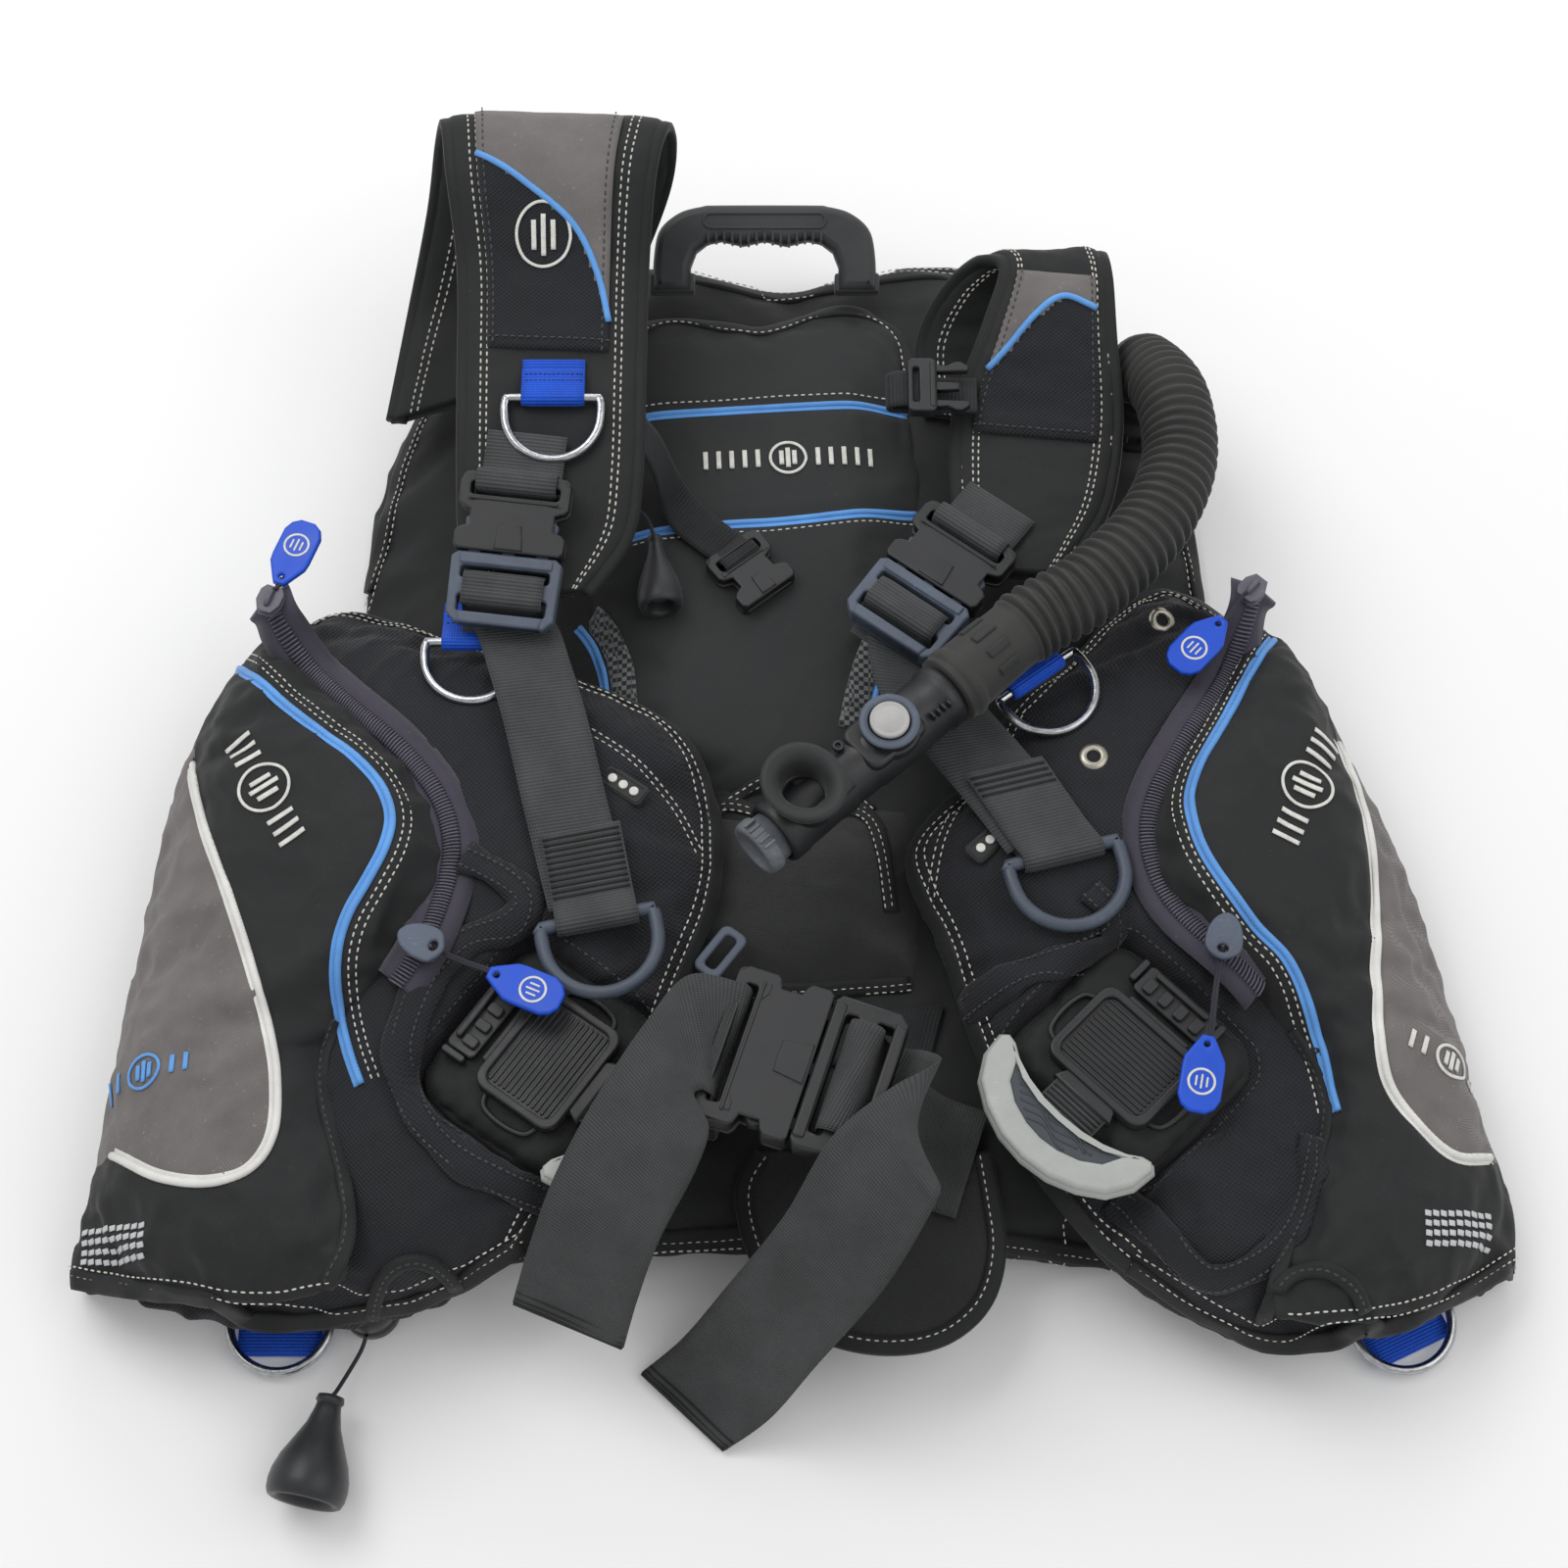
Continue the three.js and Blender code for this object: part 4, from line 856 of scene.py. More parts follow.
# Outlines, seams and zips of the lobes and pockets, drawn in the same millimetres as part.mjs
RIGHT_TOP = [(-262, 68), (-234, 97), (-214, 104), (-154, 81), (-93, 49)]
RIGHT_INNER = [(-93, 49), (-50, 28), (-31, -10), (-29, -57), (-44, -103), (-62, -150), (-98, -203), (-113, -228)]
RIGHT_HEM = [(-322, -233), (-270, -248), (-224, -257), (-160, -248), (-113, -228)]
LEFT_TOP = [(105, 35), (130, 62), (160, 100), (189, 119), (225, 92), (250, 60)]
LEFT_INNER = [(105, 35), (88, 0), (60, -28), (56, -50), (71, -86), (84, -130), (100, -175), (128, -215), (150, -234)]
LEFT_HEM = [(150, -234), (190, -258), (224, -266), (280, -254), (332, -224)]
RIGHT_ZIP = [(-245, 84), (-235, 66), (-205, 33), (-166, -9), (-151, -42), (-154, -72), (-162, -100), (-172, -114)]
LEFT_ZIP = [(223, 88), (216, 66), (203, 38), (179, -2), (166, -34), (170, -66), (193, -98), (212, -113)]
# Each zip slider's place and the way its pull hangs from it
ZIP_PULLS = {"upper_right": ((-243, 80, 93), (8, 22)), "lower_right": ((-160, -99, 102), (42, -18)),
             "upper_left": ((221, 84, 97), (-24, -26)), "lower_left": ((195, -97, 102), (-12, -58))}
RIGHT_BLUE = [(-262, 62), (-248, 45), (-225, 21), (-199, -3), (-185, -18), (-177, -36), (-178, -53), (-184, -68),
              (-193, -85), (-198, -103), (-198, -120), (-193, -140), (-186, -158)]
LEFT_BLUE = [(235, 72), (221, 48), (204, 15), (190, -11), (185, -32), (190, -55), (208, -82), (226, -101),
             (237, -124), (243, -145), (246, -166)]
RIGHT_WHITE = [(-280, 12), (-268, -27), (-251, -68), (-237, -105), (-228, -133), (-223, -159), (-223, -182),
               (-231, -197), (-242, -203), (-258, -203), (-278, -196), (-300, -181)]
LEFT_WHITE = [(262, 20), (265, 6), (270, -26), (271, -65), (267, -105), (266, -139), (271, -161), (284, -177),
              (300, -184), (318, -178)]
RIGHT_GREY = [(-276, 60), (-340, 40), (-350, -120), (-340, -180)] + RIGHT_WHITE[:0:-1] + [(-280, 9), (-281, 30)]
LEFT_GREY = [(257, 60), (264, 12)] + LEFT_WHITE[2:] + [(350, -170), (350, 40)]
RIGHT_DIAGONAL = [(-96, 20), (-68, 1), (-50, -18), (-38, -40)]
LEFT_DIAGONAL = [(103, 24), (88, -7), (74, -37), (68, -69)]

air_cell = puff("air_cell_back", "air_cell_shell", "nylon", voxel=6, rim=26, thin=0.22, mid=0.62,
                spare=0.04, cap=5, fold=1.3, size=46, low=1.0, last=12)
pad = puff("back_pad", "back_cushion", "smooth", voxel=4.5, rim=14, thin=0.4, mid=0.25, spare=0.02,
           cap=3, fold=0.6, size=60, last=12,
           seams=[([(-96, 208), (0, 212), (64, 214)], 1.2, 7), ([(-96, 138), (0, 146), (68, 155)], 1.2, 7)])
lumbar = puff("lumbar_pad", "lumbar_cushion", "lumbar", voxel=4.5, rim=12, thin=0.4, mid=0.2,
              spare=0.02, cap=3, fold=0.7, size=40, last=12)
lobes, pockets = {}, {}
for side, blue, white, patch, diagonal in (("right", RIGHT_BLUE, RIGHT_WHITE, RIGHT_GREY, RIGHT_DIAGONAL),
                                           ("left", LEFT_BLUE, LEFT_WHITE, LEFT_GREY, LEFT_DIAGONAL)):
    lobes[side] = puff(f"front_lobe_{side}", f"front_lobe_shell_{side}", "ballistic", voxel=5, rim=24,
                       thin=0.16, mid=0.6, spare=0.06, cap=7, fold=1.7, size=38, last=16, low=1.0,
                       seams=[(diagonal, 1.6, 6)], ignore=lambda x, y, side=side: in_sleeve(x, y, side))
    pockets[side] = puff(f"zip_pocket_{side}", f"zip_pocket_shell_{side}", "nylon", voxel=4.5,
                         rim=26, thin=0.12, mid=0.08, spare=0.05, cap=6, fold=1.9, size=42, last=16,
                         seams=[(blue, 1.2, 5), (white, 1.0, 6)])
    panel(pockets[side], patch, "grey")
    panel(lobes[side], patch, "grey")
for side in ("right", "left"):
    puff(f"weight_pouch_{side}", f"weight_pouch_shell_{side}", "tape", voxel=3.5, rim=9, thin=0.5,
         mid=0.4, spare=0.03, cap=2, fold=0.8, size=24, last=8, body=f"weight_{side}")

body_skin = Skin(air_cell, pad, lumbar)
lobe_skin = {side: Skin(lobes[side]) for side in lobes}
full_skin = {side: Skin(lobes[side], pockets[side]) for side in lobes}

# Shoulder straps ----------------------------------------------------------------------------------


class Strap:
    """A padded strap between two edges, each point of it known by how far along and across it lies (0 to 1)."""

    # A panel has this many points across each face, and swells over this share of its width.
    ACROSS, SWELL = 25, 0.16
    # Lines over the strap are smoothed on a flat sheet of about its length and width, in millimetres.
    LENGTH, WIDTH = 300, 60

    def __init__(self, left, right):
        self.count = int(np.linalg.norm(np.diff(np.array(left, float), axis=0), axis=1).sum() / 3.0)
        self.left, self.right = (self.evenly(edge) for edge in (left, right))
        middle = (self.left + self.right) / 2
        tangent = unit(np.gradient(middle, axis=0))
        self.normal = unit(np.cross(unit(self.right - self.left), tangent))
        self.middle = middle

    def evenly(self, points):
        path = curve_through(points, 1.0)
        want = np.linspace(0, len(path) - 1, self.count)
        return np.stack([np.interp(want, range(len(path)), path[:, k]) for k in range(3)], 1)

    def point(self, t, s, height=0.0):
        where = t * (self.count - 1)
        i = min(int(where), self.count - 2)
        f = where - i
        row = lambda array: array[i] * (1 - f) + array[i + 1] * f
        a, b, n = row(self.left), row(self.right), row(self.normal)
        return a * (1 - s) + b * s + n * height, n

    def crown(self, t, s, thick, rim=3.2):
        """Height of the outer face over the middle surface: a flat rim, then a padded crown with soft folds."""
        far = min(s, 1 - s) / self.SWELL
        swell = math.sqrt(max(1 - (1 - min(far, 1)) ** 2, 0))
        fold = noise.noise(Vector((t * 26, s * 3.0, thick))) * 1.1 + noise.noise(Vector((t * 60, s * 8.0, 4.0))) * 0.5
        return (rim + (thick - rim) * swell) / 2 + fold * swell

    def sheet(self, t0, t1, s0, s1, thick, lift=0.0, rim=3.2):
        """A closed padded panel over part of the strap."""
        across = self.ACROSS
        rows = max(int((t1 - t0) * self.count * 1.3), 6)
        verts = []
        for i in range(rows):
            t = t0 + (t1 - t0) * i / (rows - 1)
            ends = min(i, rows - 1 - i) / 3
            for face in (1, -1):
                for k in range(across):
                    u = k / (across - 1)
                    high = self.crown(t, u, thick, rim) * (0.45 + 0.55 * min(ends, 1) if rim < 3 else 1)
                    spot, _ = self.point(t, s0 + (s1 - s0) * u, lift + face * high)
                    verts.append(at(*spot))
        m, faces = across * 2, []
        for i in range(rows - 1):
            p, q = i * m, (i + 1) * m
            faces += [(p + k, p + k + 1, q + k + 1, q + k) for k in range(across - 1)]
            faces += [(p + across + k, q + across + k, q + across + k + 1, p + across + k + 1)
                      for k in range(across - 1)]
            faces += [(p, q, q + across, p + across), (p + across - 1, p + m - 1, q + m - 1, q + across - 1)]
        for i, turn in ((0, 1), (rows - 1, -1)):
            p = i * m
            faces += [(p + k, p + across + k, p + across + k + 1, p + k + 1)[::turn] for k in range(across - 1)]
        return verts, faces

    def line(self, marks, lift):
        """A path in metres and its normals through (along, across) marks, at a height over the middle surface."""
        flat = curve_through([(t * self.LENGTH, s * self.WIDTH, 0) for t, s in marks], 2.0)
        got = []
        for x, y, _ in flat:
            t, s = x / self.LENGTH, y / self.WIDTH
            got.append(self.point(min(max(t, 0), 1), s, lift(t, s) if callable(lift) else lift))
        return np.array([tuple(at(*spot)) for spot, _ in got]), np.array([n for _, n in got])


RIGHT_STRAP = Strap(
    [(-198, 205, 51), (-190, 262, 59), (-178, 300, 95), (-170, 314, 135), (-164, 306, 160), (-160, 278, 159),
     (-155, 240, 135), (-154, 190, 121), (-153, 140, 110), (-150, 102, 101), (-138, 78, 96.5)],
    [(-102, 238, 52), (-78, 288, 61), (-60, 314, 95), (-55, 314, 135), (-58, 304, 160), (-64, 277, 159),
     (-68, 240, 135), (-69, 190, 121), (-70, 140, 110), (-75, 110, 101), (-94, 83, 96.5)])
LEFT_STRAP = Strap(
    [(74, 212, 47), (70, 246, 58), (82, 264, 80), (100, 268, 101), (110, 256, 111), (100, 225, 103), (86, 190, 88),
     (84, 150, 84), (88, 120, 84), (98, 100, 84)],
    [(146, 200, 47), (150, 238, 60), (156, 262, 82), (156, 270, 102), (158, 254, 109), (160, 222, 100),
     (163, 182, 87), (156, 140, 84), (142, 114, 84), (130, 98, 84)])


def build_strap(side, strap, thick, cover, grey_edge, blue):
    """The strap with its bindings, stitches and raised cover panel. Returns that panel as a surface."""
    # The outer face is the one turned up where the strap faces forwards.
    front = strap.count * 3 // 4
    sign = 1 if strap.normal[front][2] > 0 else -1
    whole = lambda s: [(k / 24, s) for k in range(25)]
    base = solid(f"shoulder_strap_shell_{side}", [strap.sheet(0, 1, 0, 1, thick)], "nylon", "vest",
                 [f"shoulder_strap_{side}"])
    rim = tape_section(11, 5.2)
    tapes, rows = [], []
    for edge in (0.028, 0.972):
        path, normals = strap.line(whole(edge), 0)
        tapes.append(sweep(path, rim, normals))
    solid(f"strap_binding_{side}", tapes, "tape", "vest")
    for s in (0.105, 0.14, 0.86, 0.895):
        for face in (sign, -sign):
            path, normals = strap.line(whole(s), lambda t, _: face * (strap.crown(t, s, thick) + 0.15))
            rows += dashes(path, normals * face)
    for s in (0.035, 0.965):
        path, normals = strap.line(whole(s), sign * 2.75)
        rows += dashes(path, normals * sign)
    solid(f"strap_stitches_{side}", rows, "stitch", "vest")
    t0, t1, s0, s1 = cover
    over = strap.sheet(t0, t1, s0, s1, 5.0, sign * (thick / 2 + 0.6), rim=2.0)
    panel_piece = solid(f"strap_cover_{side}", [over], "ballistic", "vest")
    panel_piece.data.materials.append(LOOKS["grey"])
    # The panel's points lie in rows: the outer face's, then the inner face's.
    across = strap.ACROSS
    rows_along = len(over[0]) // (across * 2)
    for face in panel_piece.data.polygons:
        row, column = divmod(face.vertices[0], across * 2)
        t = t0 + (t1 - t0) * row / (rows_along - 1)
        u = (column % across) / (across - 1)
        if t < np.interp(u, [m[0] for m in grey_edge], [m[1] for m in grey_edge]):
            face.material_index = 1
    on_cover = lambda t, s: sign * (thick / 2 + 0.8 + strap.crown(t, (s - s0) / (s1 - s0), 5.0, 2.0))
    path, normals = strap.line([(t, s0 + (s1 - s0) * u) for u, t in blue], on_cover)
    solid(f"strap_piping_{side}", [sweep(path, ellipse(3.2, 3.0), normals * sign)], "piping", "vest")
    edge_rows = []
    for u in (0.05, 0.95):
        path, normals = strap.line([(t0 + (t1 - t0) * k / 12, s0 + (s1 - s0) * u) for k in range(13)], on_cover)
        edge_rows += dashes(path, normals * sign)
    path, normals = strap.line([(t1 - 0.012, s0 + (s1 - s0) * k / 8) for k in range(9)], on_cover)
    edge_rows += dashes(path, normals * sign)
    solid(f"strap_cover_stitches_{side}", edge_rows, "dark_stitch", "vest")
    return Skin(panel_piece)


cover_skin = build_strap(
    "right", RIGHT_STRAP, 10, (0.42, 0.70, 0.14, 0.82), [(0, 0.478), (0.3, 0.50), (0.7, 0.545), (1.0, 0.66)],
    [(0.0, 0.478), (0.3, 0.50), (0.7, 0.545), (0.9, 0.605), (1.0, 0.665)])
build_strap(
    "left", LEFT_STRAP, 9, (0.42, 0.72, 0.10, 0.88), [(0, 0.60), (0.3, 0.50), (0.6, 0.455), (1.0, 0.47)],
    [(0.0, 0.60), (0.3, 0.50), (0.6, 0.46), (1.0, 0.475)])


# Edges, seams and piping --------------------------------------------------------------------------

for side, top, inner, hem, blue, white, zip_line, diagonal in (
        ("right", RIGHT_TOP, RIGHT_INNER, RIGHT_HEM, RIGHT_BLUE, RIGHT_WHITE, RIGHT_ZIP, RIGHT_DIAGONAL),
        ("left", LEFT_TOP, LEFT_INNER, LEFT_HEM, LEFT_BLUE, LEFT_WHITE, LEFT_ZIP, LEFT_DIAGONAL)):
    skin, lobe = full_skin[side], lobe_skin[side]
    binding(f"lobe_top_binding_{side}", lobe, top, 9, 3.4, aside=4, rows=(3.0, 6.5))
    binding(f"lobe_inner_binding_{side}", lobe, inner, 9, 3.4, aside=4 if side == "right" else -4,
            rows=(3.0, 6.5) if side == "right" else (-3.0, -6.5))
    binding(f"hem_binding_{side}", skin, hem, 10, 3.6, aside=-4, rows=(-1.5, -5.0))
    seam(f"diagonal_stitches_{side}", lobe, diagonal, (0.0, 3.2))
    piping(f"pocket_piping_{side}", skin, blue, "piping")
    piping(f"pocket_white_piping_{side}", skin, white, "white_piping", 3.8)
    seam(f"pocket_stitches_{side}", skin, blue, (5.0, 8.2) if side == "left" else (-5.0, -8.2), "pocket_fabric")
    # Zip: a raised tape with its teeth along the middle, rising to the height of each slider.
    path, normals = skin.lay(zip_line, 1.2, step=1.7, soften=40)
    for x, y, z in (centre for name, (centre, _) in ZIP_PULLS.items() if name.endswith(side)):
        spot = at(x, y, z - 5.2)
        near = np.linalg.norm(path[:, :2] - np.array(spot)[:2], axis=1)
        fall = np.clip(1 - near / 0.042, 0, 1)
        fall = fall * fall * (3 - 2 * fall)
        path[:, 2] = np.maximum(path[:, 2], path[:, 2] * (1 - fall) + spot.z * fall)
    tape = [(x * MM, y * MM) for x, y in [(-12, -1.8), (-6, -0.6), (0, -0.4), (6, -0.6), (12, -1.8), (12.4, -1.0),
                                          (6, 0.5), (2.4, 0.7), (-2.4, 0.7), (-6, 0.5), (-12.4, -1.0)]]
    solid(f"zip_tape_{side}", [sweep(path, tape, normals)], "zip_tape", "vest")
    tangent, across, upward = frames(path, normals)
    teeth = []
    for k in range(len(path)):
        shape = [(-4.2, 0.6), (-3.2, 1.9), (-0.6, 2.3), (0.6, 2.3), (3.2, 1.9), (4.2, 0.6)]
        line = [path[k] + (across[k] * x + upward[k] * z + tangent[k] * 0.3 * x / 4) * MM for x, z in shape]
        teeth.append(sweep(np.array(line), [(0.55 * MM, 0), (0, 0.55 * MM), (-0.55 * MM, 0), (0, -0.55 * MM)],
                           [upward[k]] * len(line)))
    solid(f"zip_coil_{side}", teeth, "coil", "vest")
    # Sleeve mouth: rolled cloth round the pouch.
    (cx, cy), pull = SLEEVES[side]
    px, py = unit(pull)
    rim = [(cx + px * a + py * b, cy + py * a - px * b) for a, b in rounded(74, 82, 14, -6, 0, 4)]
    path, normals = full_skin[side].lay(rim, 1.5, closed=True)
    wobble = [1 + 0.35 * noise.noise(Vector(p) * 45) for p in path]
    solid(f"sleeve_lip_{side}", [sweep(path, ellipse(9, 6), normals, True, wobble)], "tape", "vest")
    outer = [(cx + px * a + py * b, cy + py * a - px * b) for a, b in rounded(88, 98, 18, -6, 0, 4)]
    path, normals = full_skin[side].lay(outer, 0.4, closed=True)
    solid(f"sleeve_stitches_{side}", dashes(path, normals), "dark_stitch", "vest")

piping("back_piping_upper", body_skin, [(-92, 205), (-68, 206), (-39, 208), (0, 211), (30, 213), (62, 214)], "piping",
       2.8)
piping("back_piping_lower", body_skin, [(-92, 137), (-60, 140), (-29, 143), (0, 145), (29, 149), (66, 155)], "piping",
       2.8)
seam("back_stitches", body_skin, [(-92, 212), (-39, 214), (0, 217), (62, 220)], (0.0,), "pad_fabric")
seam("back_stitches_lower", body_skin, [(-92, 131), (-29, 137), (0, 139), (66, 149)], (0.0,), "pad_fabric")
binding("back_cushion_binding", body_skin, [(-94, 250), (-60, 268), (-30, 264), (-8, 262), (14, 272), (36, 275),
                                            (58, 262), (66, 230)],
        8, 3.0, rows=(2.6,))
binding("lumbar_binding", body_skin, [(-58, -62), (-52, -20), (-30, -4), (-8, -8), (20, -4), (42, -14), (50, -62)], 8,
        3, rows=(0.0, 3.2))
binding("lumbar_foot_binding", body_skin, [(-72, -95), (-37, -97), (9, -99), (58, -95)], 8, 3,
        rows=(0.0, 3.2))
binding("back_hem_binding", body_skin, [(-128, -214), (-71, -214), (-9, -212), (60, -214), (150, -216)], 10, 3.4,
        aside=-2, rows=(1.0, 4.4))
binding("armhole_binding_right", body_skin, [(-232, 60), (-214, 120), (-204, 160), (-196, 205), (-176, 256),
                                             (-140, 296), (-112, 308)], 9, 3.4,
        rows=(2.2, 5.2))
binding("armhole_binding_left", body_skin, [(228, 60), (211, 120), (206, 160), (198, 205), (176, 250), (140, 290),
                                            (112, 304)], 9, 3.4,
        rows=(-2.2, -5.2))
binding("collar_binding", body_skin, [(-112, 308), (-84, 310), (-60, 309), (-30, 300), (0, 297), (34, 301), (62, 306),
                                      (90, 308), (112, 304)], 9, 3.4,
        rows=(-2.4, -5.4))

# Flaps, marks and small fittings ------------------------------------------------------------------

FLAPS = {
    "right": [[(-145, -52), (-128, -61), (-115, -73), (-124, -85), (-142, -92), (-158, -109), (-165, -128),
               (-170, -148), (-167, -161), (-157, -178), (-136, -195), (-112, -204), (-98, -206)]],
    "left": [[(138, -68), (150, -84), (127, -100), (105, -107), (84, -116), (74, -128)],
             [(236, -178), (229, -205), (213, -230), (185, -240), (163, -220), (146, -202)]],
}
for side, lines in FLAPS.items():
    skin = full_skin[side]
    for k, line in enumerate(lines):
        path, normals = skin.lay(line, 1.4, soften=8)
        ripple = [1 + 0.3 * noise.noise(Vector(p) * 60) for p in path]
        section = [(x * MM, y * MM) for x, y in [(-8, -1.4), (-4, -0.6), (0, 0.2), (5, 0.6), (7.5, -0.2), (8, 1.0),
                                                 (6, 2.6), (0, 2.4), (-5, 1.4), (-8, 0.2)]]
        solid(f"sleeve_flap_{side}_{k}", [sweep(path, section, normals, widths=ripple)], "ballistic", "vest")
        for row in (-3.2, 4.6):
            line_path, ups = skin.lay(line, 4.4, aside=row, soften=8)
            solid(f"sleeve_flap_stitches_{side}_{k}_{'inner' if row < 0 else 'outer'}",
                  dashes(line_path, ups, 2.2, 1.2), "dark_stitch", "vest")


def mark_on(name, skin, x, y, radius, turn, bars, look="embroidery"):
    """A plain embroidered mark: a ring with three bars, and rows of short bars before and after it along its axis."""
    tape = tape_section(1.5, 0.9)
    c, s_ = math.cos(turn), math.sin(turn)
    spot = lambda u, v: (x + u * c - v * s_, y + u * s_ + v * c)
    ring_line = [spot(u, v) for u, v in oval(radius * 2, radius * 2, count=24)]
    path, normals = skin.lay(ring_line, 0.6, step=1.5, closed=True)
    parts = [sweep(path, tape, normals, True)]
    rows = [(u, 0.62 - abs(u) / radius * 0.5) for u in (-0.36 * radius, 0, 0.36 * radius)]
    rows += [(sign * (radius + 6 + 6.5 * k), 0.55) for k in range(bars) for sign in (-1, 1)]
    for u, tall in rows:
        path, normals = skin.lay([spot(u, -radius * tall), spot(u, 0), spot(u, radius * tall)], 0.6, step=1.5)
        parts.append(sweep(path, tape_section(2.4, 0.9), normals))
    solid(name, parts, look, "vest")


spot, _ = RIGHT_STRAP.point(0.575, 0.46)
mark_on("strap_mark", cover_skin, spot[0], spot[1], 13, 0.0, 0)
mark_on("pocket_mark_right", full_skin["right"], -238, -18, 12, -1.05, 3)
mark_on("pocket_mark_left", full_skin["left"], 240, -16, 12, 1.15, 3)
mark_on("panel_mark_right", full_skin["right"], -285, -148, 8, 0.05, 2, look="piping")
mark_on("panel_mark_left", full_skin["left"], 300, -140, 8, -0.35, 2)
mark_on("back_mark", body_skin, 2, 180, 9, 0.05, 5)


def grommet(name, skin, x, y):
    """A plated eyelet set into the cloth."""
    spot, normal = skin.top(*at(x, y)[:2])
    m = frame_at(0, 0, 0, normal, (0, 1, 0.01))
    m.translation = spot
    profile = [(3.0, -1.0), (3.0, 0.9), (3.8, 1.6), (5.0, 1.5), (6.4, 0.8), (7.0, 0.0), (7.0, -0.8)]
    solid(name, [lathe(profile, m, 30), lathe([(3.1, -0.4), (0, -0.6)], m, 30)], "nickel", "vest")


grommet("grommet_upper", full_skin["left"], 182, 84)
grommet("grommet_lower", full_skin["left"], 143, 0)

for name, side, x, y, turn in (("badge_right", "right", -74, -14, -0.6), ("badge_left", "left", 94, -42, 0.75)):
    spot, normal = lobe_skin[side].top(*at(x, y)[:2])
    m = Matrix.Translation(spot) @ Matrix.Rotation(turn, 4, "Z")
    parts = [moulding([rounded(24, 11, 2.5)], -0.6, 1.8, 0.7, m), moulding([rounded(22, 9, 2), rounded(20, 7, 1.6)],
            1.4, 2.3, 0.3, m)]
    solid(name, parts, "rubber", "vest")
    dots = [moulding([oval(4.4, 4.4, u, 0, 18)], 1.5, 2.6, 0.4, m) for u in (-6, 0, 6)]
    solid(name + "_dots", dots, "embroidery", "vest")

for name, side, line in (("drain_flap_right", "right", [(-182, -250), (-176, -240), (-167, -234), (-155, -233),
                                                        (-145, -238), (-139, -247)]),
                         ("drain_flap_left", "left", [(209, -254), (215, -244), (224, -239), (236, -240), (246, -247),
                                                      (251, -254)])):
    path, normals = full_skin[side].lay(line, 1.2)
    solid(name, [sweep(path, tape_section(7, 3.4), normals)], "tape", "vest")
    path, normals = full_skin[side].lay(line, 2.9)
    solid(name + "_stitches", dashes(path, normals), "dark_stitch", "vest")

# Reflective checks at the outer hem corners
for side, turn in (("right", 1), ("left", -1)):
    cells = []
    for row in range(4):
        for column in range(9):
            x, y = turn * (-314 + column * 4.0), -224 + row * 4.2 + column * -0.7 + (4 if side == "left" else 0)
            path, normals = full_skin[side].lay([(x, y), (x + turn * 1.4, y), (x + turn * 2.8, y)], 0.5, step=1.4)
            cells.append(sweep(path, tape_section(2.6, 0.7), normals))
    solid(f"reflective_checks_{side}", cells, "reflective", "vest")

# Lumbar arch, side mesh and the small loop by the waist
binding("lumbar_arch", body_skin, [(-48, -46), (-42, -24), (-30, -6), (-14, 5), (6, 10), (26, 6), (42, -8)], 6, 2.6,
        rows=(-1.0, 1.6))
for side, line in (("right", [(-100, 92), (-92, 80), (-86, 62), (-84, 40)]),
                   ("left", [(53, 80), (47, 62), (43, 46), (40, 30)])):
    piping(f"side_piping_{side}", body_skin, line, "piping", 2.8)
    path, normals = body_skin.lay(line, 0.5, aside=8 if side == "left" else -8)
    solid(f"side_mesh_{side}", [sweep(path, tape_section(13, 1.2), normals)], "mesh", "vest")
backing = []
for line in ([(-64, -106), (0, -112), (74, -106)], [(-66, -130), (0, -136), (76, -130)]):
    path, _ = body_skin.lay(line, 2.2, step=9)
    backing.append([tuple(p / MM - np.array(SHIFT)) for p in path])
shorter = min(len(edge) for edge in backing)
band("waist_backing_webbing", backing[0][:shorter], backing[1][:shorter], 1.8, "black_webbing", slot="waist_webbing")
m = frame_at(-29, -88, 66, (-0.8, 0.6, 0))
parts = [moulding([rounded(26, 14, 4), rounded(18, 6, 2)], -1.6, 1.6, 1.2, m)]
solid("waist_loop", parts, "slate", "vest")

